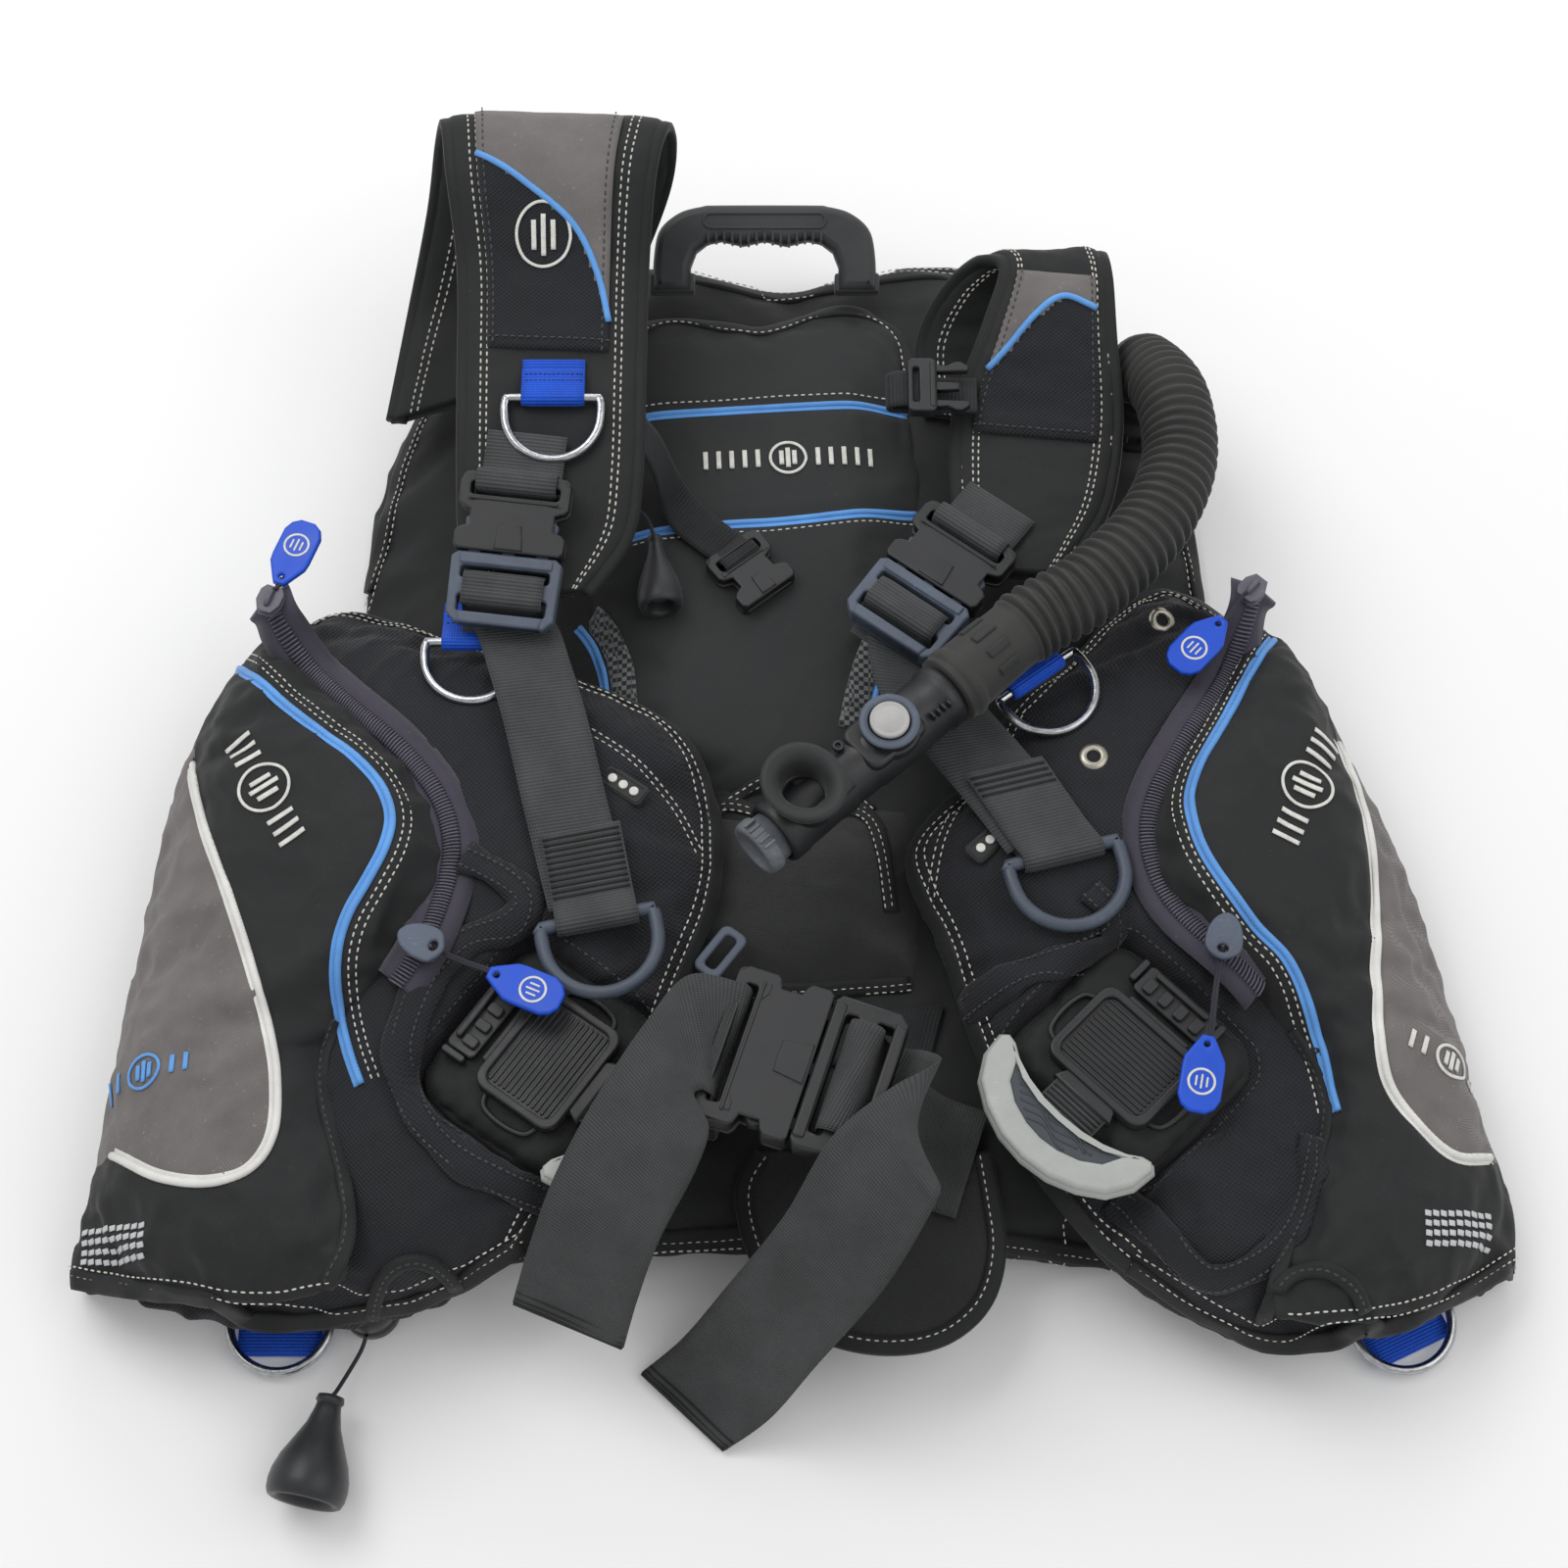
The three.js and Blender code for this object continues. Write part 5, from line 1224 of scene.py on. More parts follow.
# Where a pocket's lower edge meets the lobe, a felled seam; round each outer wall, a bound edge
OUTER = {"right": [(-262, 68), (-284, 30), (-297, -30), (-305, -80), (-313, -170), (-322, -233)],
         "left": [(250, 60), (275, 5), (290, -25), (298, -46), (318, -140), (330, -190), (332, -224)]}
for side, turn in (("right", -1), ("left", 1)):
    down = Vector((0, 0, -1))
    pair = Skin(lobes[side], pockets[side]).trees
    marks = []
    for y in range(-128, -252, -6):
        for x in np.arange(165, 290, 1.5):
            above = Vector((*at(turn * x, y)[:2], 0.4))
            lobe_hit, pocket_hit = (pair[k].ray_cast(above, down)[0] for k in (0, 1))
            if pocket_hit is not None and (lobe_hit is None or pocket_hit.z > lobe_hit.z + 0.0008):
                marks.append((turn * x, y))
                break
    marks = np.array(marks)
    for _ in range(6):
        marks[1:-1] = (marks[:-2] + 2 * marks[1:-1] + marks[2:]) / 4
    binding(f"pocket_foot_seam_{side}", full_skin[side], [tuple(m) for m in marks], 7, 2.6, "nylon")
    seam(f"pocket_foot_stitches_{side}", full_skin[side], [tuple(m) for m in marks], (1.6,), "pocket_fabric",
         "dark_stitch", 1.7)
    flat = curve_through([(x, y, 0) for x, y in OUTER[side]], 3.0)
    walls = []
    for x, y, _ in flat:
        outside = at(x + turn * 14, y, 16)
        near = [tree.find_nearest(outside) for tree in full_skin[side].trees]
        walls.append(min(near, key=lambda f: f[3])[0])
    walls = np.array(walls)
    for _ in range(8):
        walls[1:-1] = (walls[:-2] + 2 * walls[1:-1] + walls[2:]) / 4
    section = ellipse(4.6, 11, 14)
    solid(f"outer_binding_{side}", [sweep(walls, section, [(0, 0, 1)] * len(walls))], "tape", "vest")
    rows = []
    for height in (2.4, -2.4):
        line = walls + np.array((turn * 2.5, 0, height)) * MM
        rows += dashes(line, [(turn, 0, 0.1)] * len(line))
    solid(f"outer_binding_stitches_{side}", rows, "stitch", "vest")

# Buckles ------------------------------------------------------------------------------------------


def slab_box(x0, x1, y0, y1, z0, z1, matrix, edge=0.5):
    """A small block with rounded rims, between these limits in a frame."""
    width, height = x1 - x0, y1 - y0
    return moulding([rounded(width, height, min(1.2, width / 2.2, height / 2.2), (x0 + x1) / 2, (y0 + y1) / 2, 3)],
                    z0, z1, min(edge, (z1 - z0) / 2.2), matrix)


def disc(radius, low, high, matrix, hole=0.0, edge=0.6, x=0.0, y=0.0):
    """A round plate, with a hole if one is given."""
    outlines = [oval(radius * 2, radius * 2, x, y, 36)]
    if hole:
        outlines.append(oval(hole * 2, hole * 2, x, y, 30))
    return moulding(outlines, low, high, edge, matrix)


def side_release_female(name, m, width, length, thick, webbing, look, body, replaces):
    """Socket half: two faces joined by a collar at the mouth and a slotted bar block, with a window in each side."""
    w, t, wall = width / 2, thick / 2, 2.4
    bite = 6.0
    y0, y1, y2 = length * 0.29, length * 0.56, length
    face = [(w - 2, 0.4), (w, 2.5), (w, y0 - 2), (w - 2, y0), (w - bite, y0 + 1.5), (w - bite, y1 - 1.5),
            (w - 1.5, y1), (w, y1 + 2), (w, y2 - 4), (w - 4, y2)]
    outline = mirrored(face)
    middle = [(-w * 0.26, 1.5), (w * 0.26, 1.5), (w * 0.20, y1 * 0.62), (-w * 0.20, y1 * 0.62)]
    slot_hole = rounded(webbing + 4, 6, 1.5, 0, length - 8, 3)
    parts = [moulding([outline, slot_hole], t - wall, t, 0.9, m), moulding([outline, slot_hole], -t, -t + wall, 0.9,
            m)]
    back = rounded(width - 1, length * 0.42, 3, 0, length * 0.79)
    parts.append(moulding([back, rounded(webbing + 4, 6, 1.5, 0, length - 8, 3)], -t + 1, t - 1, 0.6, m))
    for sx in (-1, 1):
        parts.append(slab_box(*sorted((sx * (w - 0.5), sx * (w - 3.6))), 0.8, y0 - 0.4, -t + 1, t - 1, m))
        parts.append(moulding([[(sx * (w * 0.72), y1 + 3), (sx * (w * 0.84), y1 + 3), (sx * (w * 0.84), y2 - 14),
                                (sx * (w * 0.62), y2 - 14)][::sx]],
                              t - 0.4, t + 0.5, 0.35, m))
    parts.append(moulding([middle], t - 0.5, t + 0.9, 0.6, m))
    parts.append(slab_box(-w + 5, w - 5, y2 - 13.6, y2 - 12.2, t - 0.4, t + 0.7, m))
    for k in range(3):
        parts.append(slab_box(-w * 0.5, w * 0.5, y2 - 3.6 + k * 1.1, y2 - 3.1 + k * 1.1, t - 0.3, t + 0.4, m, 0.2))
    return solid(name, parts, look, body, replaces)


def side_release_male(name, m, width, female, length, thick, webbing, look, body, replaces):
    """Plug half: a ladder of bars with a raised lip, two springy arms with hooks and a guide between them."""
    w, t = width / 2, thick / 2
    flat = t - 3.2
    body_outline = [(w - 3, -0.4), (w, -3), (w - 0.6, -length + 4), (w - 5, -length - 0.4)]
    body_outline = mirrored(body_outline)
    holes = [rounded(webbing + 4, 6, 1.5, 0, -10, 3), rounded(webbing + 4, 8, 1.5, 0, -25, 3)]
    parts = [moulding([body_outline] + holes, -t + 1.5, t - 1.0, 1.2, m)]
    lip = [(w - 6, -length + 5), (w - 7, -length - 0.4)]
    lip = mirrored(lip)
    parts.append(moulding([lip], -t, t, 1.2, m))
    parts.append(slab_box(-w + 4, w - 4, -6.4, -1.0, -t, t, m, 1.0))
    for k in range(5):
        x = (k - 2) * webbing / 5.4
        parts.append(slab_box(x - 0.8, x + 0.8, -19.6, -14.6, t - 1.4, t - 0.5, m, 0.3))
    for sx in (-1, 1):
        a = w - 10
        arm = [(a - 3.2, -4), (a + 3.4, -4), (a + 2.2, female * 0.14), (a + 3.2, female * 0.27),
               (a + 5.6, female * 0.33), (a + 5.8, female * 0.42), (a + 2.6, female * 0.49), (a - 1.4, female * 0.5),
               (a - 2.6, female * 0.40), (a - 1.8, female * 0.2)]
        parts.append(moulding([[(sx * x, y) for x, y in arm][::sx]], -flat, flat, 0.8, m))
    parts.append(moulding([[(-3, -4), (3, -4), (2.2, female * 0.5 - 3), (-2.2, female * 0.5 - 3)]], -flat, flat, 0.7,
                          m))
    return solid(name, parts, look, body, replaces)


def local(matrix, x, y, z):
    """A frame's local point in drawn millimetres."""
    return tuple(np.array(matrix @ (Vector((x, y, z)) * MM)) / MM - np.array(SHIFT))


def threaded(matrix, stations, half):
    """The two edges of webbing that follows (y, z) stations in a frame."""
    return [local(matrix, half, y, z) for y, z in stations], [local(matrix, -half, y, z) for y, z in stations]


for side, m in (("right", frame_at(-129, 93, 113, (9, 74, 22))), ("left", frame_at(68, 86, 96, (0.6, 0.8, 0)))):
    side_release_female(f"shoulder_socket_{side}", m, 52, 38, 12, 38, "black", "vest",
                        [f"shoulder_buckle_female_{side}"])
    side_release_male(f"shoulder_ladder_{side}", m, 52, 38, 34, 12, 38, "slate", "vest",
                      [f"shoulder_buckle_ladder_{side}"])
    low = -9 if side == "right" else -5.6
    over = [(62, low), (50, low + 0.4), (43, low + 1.4), (39.9, low + 5), (39.8, 3), (38.4, 7.0), (34, 7.4),
            (30.6, 6), (29.6, 0), (29.8, -5), (33, -8.4), (40, -10.4), (50, -11)]
    band(f"shoulder_socket_webbing_{side}", *threaded(m, over, 19), 1.7, "webbing", slot="shoulder_webbing", step=1.2)
    under = [(-36, -12), (-31, -9.6), (-27, -6), (-24.8, 0), (-24.4, 4.6), (-21.8, 6.8), (-17, 6.4), (-12.6, 6.4),
             (-10, 4), (-9.8, -2), (-11, -7.4), (-16, -9.4), (-26, -10.6)]
    band(f"shoulder_ladder_webbing_{side}", *threaded(m, under, 19), 1.7, "webbing", slot="shoulder_webbing",
         step=1.2)


def edges(stations, half):
    """The two edges of a strip given by (middle, direction across) stations."""
    return ([(x - half * dx, y - half * dy, z) for (x, y, z), (dx, dy) in stations],
            [(x + half * dx, y + half * dy, z) for (x, y, z), (dx, dy) in stations])


RIGHT_WEBBING = [((-130, 72, 95.2), (1, 0.1)), ((-124, 60, 95.6), (1, 0.1)), ((-119, 44, 98.5), (1, 0.1)),
                 ((-110, 14, 98.5), (0.98, 0.2)), ((-99, -30, 95.5), (0.98, 0.2)), ((-87, -76, 95), (0.98, 0.2))]
LEFT_WEBBING = [((54, 58, 88), (0.8, -0.6)), ((62, 40, 88.5), (0.98, 0.15)), ((80, 13, 91), (0.88, 0.45)),
                ((102, -18, 93.4), (0.83, 0.55)), ((117, -41, 95), (0.83, 0.55))]
band("shoulder_webbing_strip_right", *edges(RIGHT_WEBBING, 19), 1.8, "webbing", slot="shoulder_webbing",
     replaces=["shoulder_webbing_right"], wave=0.5)
band("shoulder_webbing_strip_left", *edges(LEFT_WEBBING, 19), 1.8, "webbing", slot="shoulder_webbing",
     replaces=["shoulder_webbing_left"], wave=0.5)

PULLS = {"right": ((-84, -83, 95.4), (-0.2, 0.98, 0)), "left": ((126, -51, 95.4), (-0.25, 0.97, 0))}
for side, (centre, towards) in PULLS.items():
    m = frame_at(*centre, towards)
    # The end of the webbing, doubled back round the ring's bar and sewn down with cross rows.
    around = [(7.5, -1.6), (4, -3.6), (0, -4.7), (-3.4, -3.2), (-4.7, 0), (-3.4, 3.3), (0, 4.7), (4.5, 3.6), (9, 2.2),
              (16, 1.8), (30, 2.0), (44, 2.6)]
    left, right = threaded(m, around, 18.6)
    drift = 0.0 if side == "right" else -0.33
    shear = lambda pts: [(x + drift * max(d[0], 0), y, z) for (x, y, z), d in zip(pts, around)]
    left, right = shear(left), shear(right)
    band(f"pull_webbing_fold_{side}", left, right, 1.7, "webbing", slot="shoulder_webbing", step=1.2)
    bars = []
    for k in range(11):
        y = 12 + k * 2.9
        z = np.interp(y, [9, 16, 30, 44], [2.2, 1.8, 2.0, 2.6]) + 1.0
        ends = [np.array(local(m, x, y, z)) + np.array((drift * y, 0, 0)) for x in (-17.6, 17.6)]
        ridge = [at(*(ends[0] * (1 - s) + ends[1] * s)) for s in np.linspace(0, 1, 8)]
        parts = sweep(np.array(ridge), ellipse(1.5, 0.9, 6))
        bars.append(parts)
    # The left webbing shows only the last few ribs.
    solid(f"pull_webbing_ribs_{side}", bars if side == "right" else bars[7:], "tape", "vest")


def ring_path(span, wire, straight):
    """A D-ring line: a straight bar along X and a bow towards -Y."""
    half, corner = (span - wire) / 2, 3.0
    path = [(-half + corner, 0, 0), (half - corner, 0, 0), (half - 0.9, -0.9, 0), (half, -corner, 0)]
    path += [(half * math.cos(a), -straight - half * math.sin(a), 0) for a in np.linspace(0, math.pi, 13)]
    path += [(-half, -corner, 0), (-half + 0.9, -0.9, 0)]
    return curve_through(path, 1.4, closed=True)


def ring(name, matrix, span, wire, straight, look, body, slot, replaces, flat=1.0):
    path = ring_path(span, wire, straight)
    section = ellipse(wire, wire * flat, 14)
    parts = [placed(sweep(path * MM, section, [(0, 0, 1)] * len(path), True), matrix)]
    return solid(name, parts, look, body, replaces)


RINGS = {
    "shoulder_right": ((-110, 172, 126), (0, 0.976, 0.22), 14), "chest_right": ((-146, 60, 89.4), (0, 1, 0), 16),
    "chest_left": ((118, 42, 89.4), (-0.6, 0.8, 0), 16), "hem_right": ((-228, -236, 7), (0, 1, 0), 10),
    "hem_left": ((276, -236, 7), (-0.42, 0.9, 0), 10)}
for name, (centre, towards, tail) in RINGS.items():
    m = frame_at(*centre, towards)
    ring(f"{name}_d_ring", m, 50, 4.5, 8, "steel", f"d_ring_{name}", "ring_steel", [f"d_ring_{name}"])
    wrap = [(tail + 6, -2.6), (6, -3.2), (0, -3.5), (-2.5, -2.5), (-3.5, 0), (-2.5, 2.5), (0, 3.5), (3.2, 2.3),
            (tail * 0.6, 0.2), (tail, -0.4)]
    band(f"{name}_ring_tab", *threaded(m, wrap, 15), 1.5, "blue_webbing", slot="blue_webbing",
         replaces=[f"keeper_{name}"], step=0.9)
    rows = []
    for y in (tail * 0.62, tail * 0.86):
        height = np.interp(y, [3.2, tail * 0.6, tail], [2.3, 0.2, -0.4]) + 0.9
        line = np.array([at(*local(m, x, y, height)) for x in np.linspace(-13.6, 13.6, 12)])
        rows += dashes(line, [m.col[2][:3]] * 12, 1.6, 0.6)
    solid(f"{name}_tab_stitches", rows, "blue_thread", "vest")
for name in ("hem_right", "hem_left"):
    centre, towards, _ = RINGS[name]
    m = frame_at(*centre, towards)
    # The loose end of the tab, lying under the ring.
    fold = [(8, -4.0), (-2, -4.2), (-12, -4.6), (-20, -5.0), (-22.4, -4.6), (-20, -3.4), (-12, -3.2), (-6, -3.4)]
    band(f"{name}_loose_tab", *threaded(m, fold, 19), 1.1, "blue_webbing", slot="blue_webbing", step=0.9)
for side, (centre, towards) in PULLS.items():
    ring(f"{side}_pull_d", frame_at(*centre, towards), 58, 6.4, 10, "ring_plastic", f"pull_ring_{side}",
         "pull_ring_plastic", [f"pull_ring_{side}"], 0.92)

# Sternum halves -----------------------------------------------------------------------------------

m = frame_at(-6, 100, 62, (-0.62, 0.78, 0))
bar = np.array((-6, 100, 62)) + unit((-0.62, 0.78, 0)) * 31
side_release_female("sternum_socket", m, 32, 34, 9, 20, "black", "sternum_right",
                    ["sternum_half_right"])
upper = [(-67.5, 170, 113), (-60, 168, 98), (-52, 162, 75), (-42, 152, 63), tuple(bar + (7.8, 6.2, 0)),
         tuple(bar + (7.8 + 1.9, 6.2 - 2.4, 5)), tuple(bar + (7.8 + 5.4, 6.2 - 7, 5.4)),
         tuple(bar + (7.8 + 5.8, 6.2 - 7.6, -3))]
lower = [(-67.5, 150, 111), (-63, 148, 95), (-60, 145, 73), (-54, 136, 62), tuple(bar - (7.8, 6.2, 0)),
         tuple(bar + (-7.8 + 1.9, -6.2 - 2.4, 5)), tuple(bar + (-7.8 + 5.4, -6.2 - 7, 5.4)),
         tuple(bar + (-7.8 + 5.8, -6.2 - 7.6, -3))]
band("sternum_webbing_right", upper, lower, 1.6, "black_webbing", "sternum_right", "sternum_plastic")
hinge = np.array((94, 191, 98.2))
fold = [(0, 0), (-20, 0), (-39, 0.2), (-44, 3), (-40, 6), (-31, 6.8), (-26, 7)]
band("sternum_webbing_left", [tuple(hinge + (x, 10, z)) for x, z in fold],
     [tuple(hinge + (x, -10, z)) for x, z in fold], 1.6, "black_webbing", "sternum_left", "sternum_plastic",
     ["sternum_half_left"])
m = frame_at(*(hinge + (-20, 0, 7.2)), (-1, 0, 0))
parts = [moulding([rounded(30, 14, 3, 0, 7), rounded(20, 3, 1, 0, 10, 3)], -3.4, 3.4, 0.9, m),
         slab_box(-13, 13, 0.5, 3.4, -4, 4, m, 0.8)]
for sx in (-1, 1):
    arm = [(8, 1), (12, 1), (11.4, -5), (13.6, -9), (13.8, -12), (11, -16), (8.6, -15), (8.4, -8)]
    parts.append(moulding([[(sx * x, y) for x, y in arm][::-sx]], -2, 2, 0.7, m))
parts.append(moulding([[(2.4, 1), (-2.4, 1), (-1.8, -11), (1.8, -11)]], -1.8, 1.8, 0.6, m))
solid("sternum_plug", parts, "black", "sternum_left")

# Carry handle -------------------------------------------------------------------------------------

handle_frame = Matrix.Translation(at(-10, 286, 46)) @ Matrix.Rotation(0.42, 4, "X")
half_arch = [(57, 0), (57, 16), (54, 31), (44, 40), (32, 43.4), (24, 44)]
half_inner = [(38, 0), (38, 12), (35, 20), (29, 24.6), (22, 26)]
outer = smoothed([(-x, y) for x, y in half_arch] + half_arch[::-1], 3.0)
fingers = [(16, 24.6), (11, 23.6), (5, 25), (0, 26), (-5, 25), (-11, 23.6), (-16, 24.6)]
arch = outer + half_inner + fingers + [(-x, y) for x, y in reversed(half_inner)]
parts = [moulding([arch], 0, 14, 4.2, handle_frame)]
for k in range(15):
    x = -29 + k * 4.15
    parts.append(slab_box(x - 0.8, x + 0.8, np.interp(abs(x), [0, 11, 22, 29], [26, 23.6, 26, 25]) - 0.5,
                          30 - abs(x) * 0.02, 2.4, 14.8, handle_frame, 0.5))
for sx in (-1, 1):
    parts.append(slab_box(*sorted((sx * 36, sx * 59)), -1, 9, -1, 11, handle_frame, 1.5))
    parts.append(disc(3.2, 10.8, 12.6, handle_frame, 0, 0.6, sx * 47.5, 4.2))
parts.append(moulding([rounded(64, 9, 4.4, 0, 35.4), rounded(61, 6, 3, 0, 35.4)], 13.4, 14.7, 0.4, handle_frame))
solid("carry_handle_grip", parts, "handle", "vest", ["carry_handle"])

# Hose and inflator --------------------------------------------------------------------------------

START, AXIS = np.array((74, 21, 114.0)), np.array((-0.74, -0.67, 0)) / math.hypot(0.74, 0.67)
inflator = frame_at(*START, AXIS)
route = [(180, 222, 62.8), (180, 222, 74), (189, 190, 97), (189, 148, 106), (172, 108, 112), (142, 76, 114),
         tuple(START - AXIS * 50), tuple(START - AXIS * 1.4)]
path = curve_through(route, 0.75)
reach = np.r_[0, np.cumsum(np.linalg.norm(np.diff(path, axis=0), axis=1))]
total = reach[-1]
SOCKET, CUFF = 12, 46.0
RIB_PITCH = 6.3
sizes = []
for s in reach:
    ribs = math.sin((s - SOCKET) * 2 * math.pi / RIB_PITCH)
    if s < SOCKET:
        r = 17.4 if s > 3 else 17.9
    elif s > total - CUFF:
        e = s - (total - CUFF)
        r = np.interp(e, [0, 3, 8, 36, 38, 41, 43, 46], [17.6, 16.2, 16.2, 17.0, 18.2, 18.2, 17.2, 17.2])
    else:
        r = 16.3 + 2.0 * max(0.0, ribs) ** 0.45 - 0.9 * max(0.0, -ribs) ** 0.7
    sizes.append(r)
hose_path = np.array([tuple(at(*p)) for p in path])
hose = solid("corrugated_hose", [sweep(hose_path, ellipse(2, 2, 30), widths=sizes)],
             "hose", "vest", ["inflator_hose"])
cuff_parts = []
tangent, _, _ = frames(hose_path)
up = np.array((0, 0, 1))
for angle in (-0.9, -0.3, 0.3, 0.9):
    spots = [i for i, s in enumerate(reach) if total - 33 < s < total - 20]
    outward = [up * math.cos(angle) + np.cross(tangent[i], up) * math.sin(angle) for i in spots]
    line = [hose_path[i] + way * sizes[i] * MM for i, way in zip(spots, outward)]
    ups = [p - hose_path[i] for p, i in zip(line, spots)]
    cuff_parts.append(sweep(np.array(line), tape_section(4.6, 1.8), ups))
cuff = solid("hose_cuff_lugs", cuff_parts, "rubber", "vest")
elbow = frame_at(180, 222, 32, (0, 0, 1), (0, 1, 0))
lathe_parts = [lathe([(0, 0), (23, 0), (24, 1), (24, 5), (22.4, 6), (22.4, 9), (24, 10), (24, 16.4), (23, 18),
                      (20, 18.6), (19.4, 20), (19.4, 24), (20.4, 25), (20.4, 29), (19.4, 30), (0, 30)], elbow, 40)]
round_elbow = elbow @ Matrix.Rotation(math.pi / 2, 4, "X") @ Matrix.Scale(-1, 4, (0, 0, 1))
for k in range(20):
    a = 2 * math.pi * k / 20
    grip = round_elbow @ Matrix.Rotation(a, 4, "Z") @ Matrix.Translation((0, 23.4 * MM, 0))
    lathe_parts.append(slab_box(-1.1, 1.1, 0, 1.6, 10.6, 16, grip, 0.4))
solid("hose_elbow_ring", lathe_parts, "black", "vest", ["hose_elbow"])

parts = [lathe([(0, 1), (14, 0), (15.6, 0.8), (15.6, 7), (14.6, 8), (14.6, 20), (15.2, 22), (15.2, 50), (14.4, 52),
                (14.4, 66), (15.2, 68), (15.2, 74), (14.6, 76), (15, 96), (15.6, 97.5), (15.6, 104.5), (14.8, 106),
                (12.7, 106), (12.4, 105), (12.4, 95.4), (0, 95)], inflator, 40)]
boss = Matrix.Translation(Vector(inflator @ Vector((0, 36 * MM, 0)))) @ inflator.to_3x3().to_4x4()
spout = Matrix.Translation(Vector(inflator @ Vector((0, 88 * MM, 0)))) @ inflator.to_3x3().to_4x4()
parts.append(disc(13.2, 6, 19, boss, 9.7, 1.0))
parts.append(disc(14.6, 8, 14, boss, 0, 1.2))
parts.append(moulding([rounded(25, 34, 6, 0, 3)], 8.6, 14.6, 2.0, boss))
for k in range(4):
    parts.append(slab_box(-11, -8.2 if k % 2 else -7.4, -19 - k * 3.2, -17.6 - k * 3.2, 11, 15.6, boss, 0.5))
parts.append(disc(13.4, 0, 16, spout, 9.2, 1.6))
parts.append(moulding([[(-13, 0), (-10.5, -22), (10.5, -22), (13, 0)]], 4, 13.2, 2.2, spout))
for y in (26, 60):
    parts.append(disc(2.6, 13.4, 15.9, inflator, 1.2, 0.4, 8.0, y))
solid("inflator_housing", parts, "black", "vest", ["inflator_body"])
rim = lathe([(12.6, 0), (13.6, 0.2), (13.9, 1.0), (13.4, 1.9), (9.9, 1.9), (9.7, 0.4), (10, 0)],
            boss @ Matrix.Rotation(math.pi / 2, 4, "X") @ Matrix.Translation((0, 18.2 * MM, 0)), 40)
solid("power_button_rim", [rim], "slate", "vest")
button = boss @ Matrix.Rotation(math.pi / 2, 4, "X")
solid("power_button_cap", [lathe([(0, 22.0), (5.6, 21.9), (6.4, 21.3), (7.4, 21.3), (8.4, 22), (9.0, 21.4),
                                  (9.0, 18.5), (0, 18.5)], button, 40)],
      "disc", "power_button", ["power_button"])
worn = [lathe([(0, 99.3), (11.9, 99.3), (11.9, 110.4), (13.4, 110.9), (13.8, 112), (13.6, 116.4), (12.8, 118),
               (9.6, 118.3), (9.0, 117.5), (0, 117.3)], inflator, 40)]
for k in range(5):
    worn.append(slab_box(-7.4 + 3.4 * k, -6.0 + 3.4 * k, 111, 117.4, 12.4, 14.2, inflator, 0.4))
solid("deflate_button_cap", worn, "worn", "deflate_button", ["deflate_button"])
lip = [lathe([(9.8, 12.6), (10.6, 16.4), (13, 19.0), (15.4, 21.0), (17.2, 25.4), (18.4, 29.2), (18.2, 30.3),
              (16.0, 30.6), (13.2, 29.6), (10.8, 27), (9.6, 22), (9.2, 16)],
             spout @ Matrix.Rotation(math.pi / 2, 4, "X") @ Matrix.Scale(1.1, 4, (1, 0, 0)), 44, ring=True)]
solid("mouthpiece_lip", lip, "rubber", "vest", ["mouthpiece"])

# Valves -------------------------------------------------------------------------------------------

shoulder_valve = frame_at(-134, 152, 37, (0, 0, 1), (0, 1, 0))
parts = [lathe([(0, 0), (17, 0), (17, 4), (15.6, 5.4), (15.6, 9), (17, 10.4), (17, 17), (15.4, 19.4), (12, 20),
                (11, 18.8), (0, 18.6)], shoulder_valve, 40)]
parts.append(lathe([(1.6, 0), (2.6, 0.2), (3.0, 3), (1.4, 3.4)], frame_at(-117.6, 152, 57, (1, 0, 0)), 16))
solid("shoulder_dump_housing", parts, "black", "vest", ["shoulder_dump_valve"])
hem_valve = frame_at(-187, -238, 3, (0, 0, 1), (0, 1, 0))
parts = [lathe([(0, 0), (13, 0), (13, 6), (12, 7), (12, 10), (13, 11), (13, 18), (11.6, 20.4), (8, 21), (0, 20.6)],
               hem_valve, 36)]
solid("hem_dump_housing", parts, "black", "vest", ["hem_dump_valve"])

# Weight pouches: cover plate, webbing, handle and latch -------------------------------------------

# The window of the handle, filled by its darker grip
INSET = [(-31, 37), (-22, 40.4), (-11, 42.6), (0, 43.2), (11, 42.6), (22, 40.4), (31, 37), (27, 45), (19, 50.6),
         (9, 54), (0, 55), (-9, 54), (-19, 50.6), (-27, 45)]

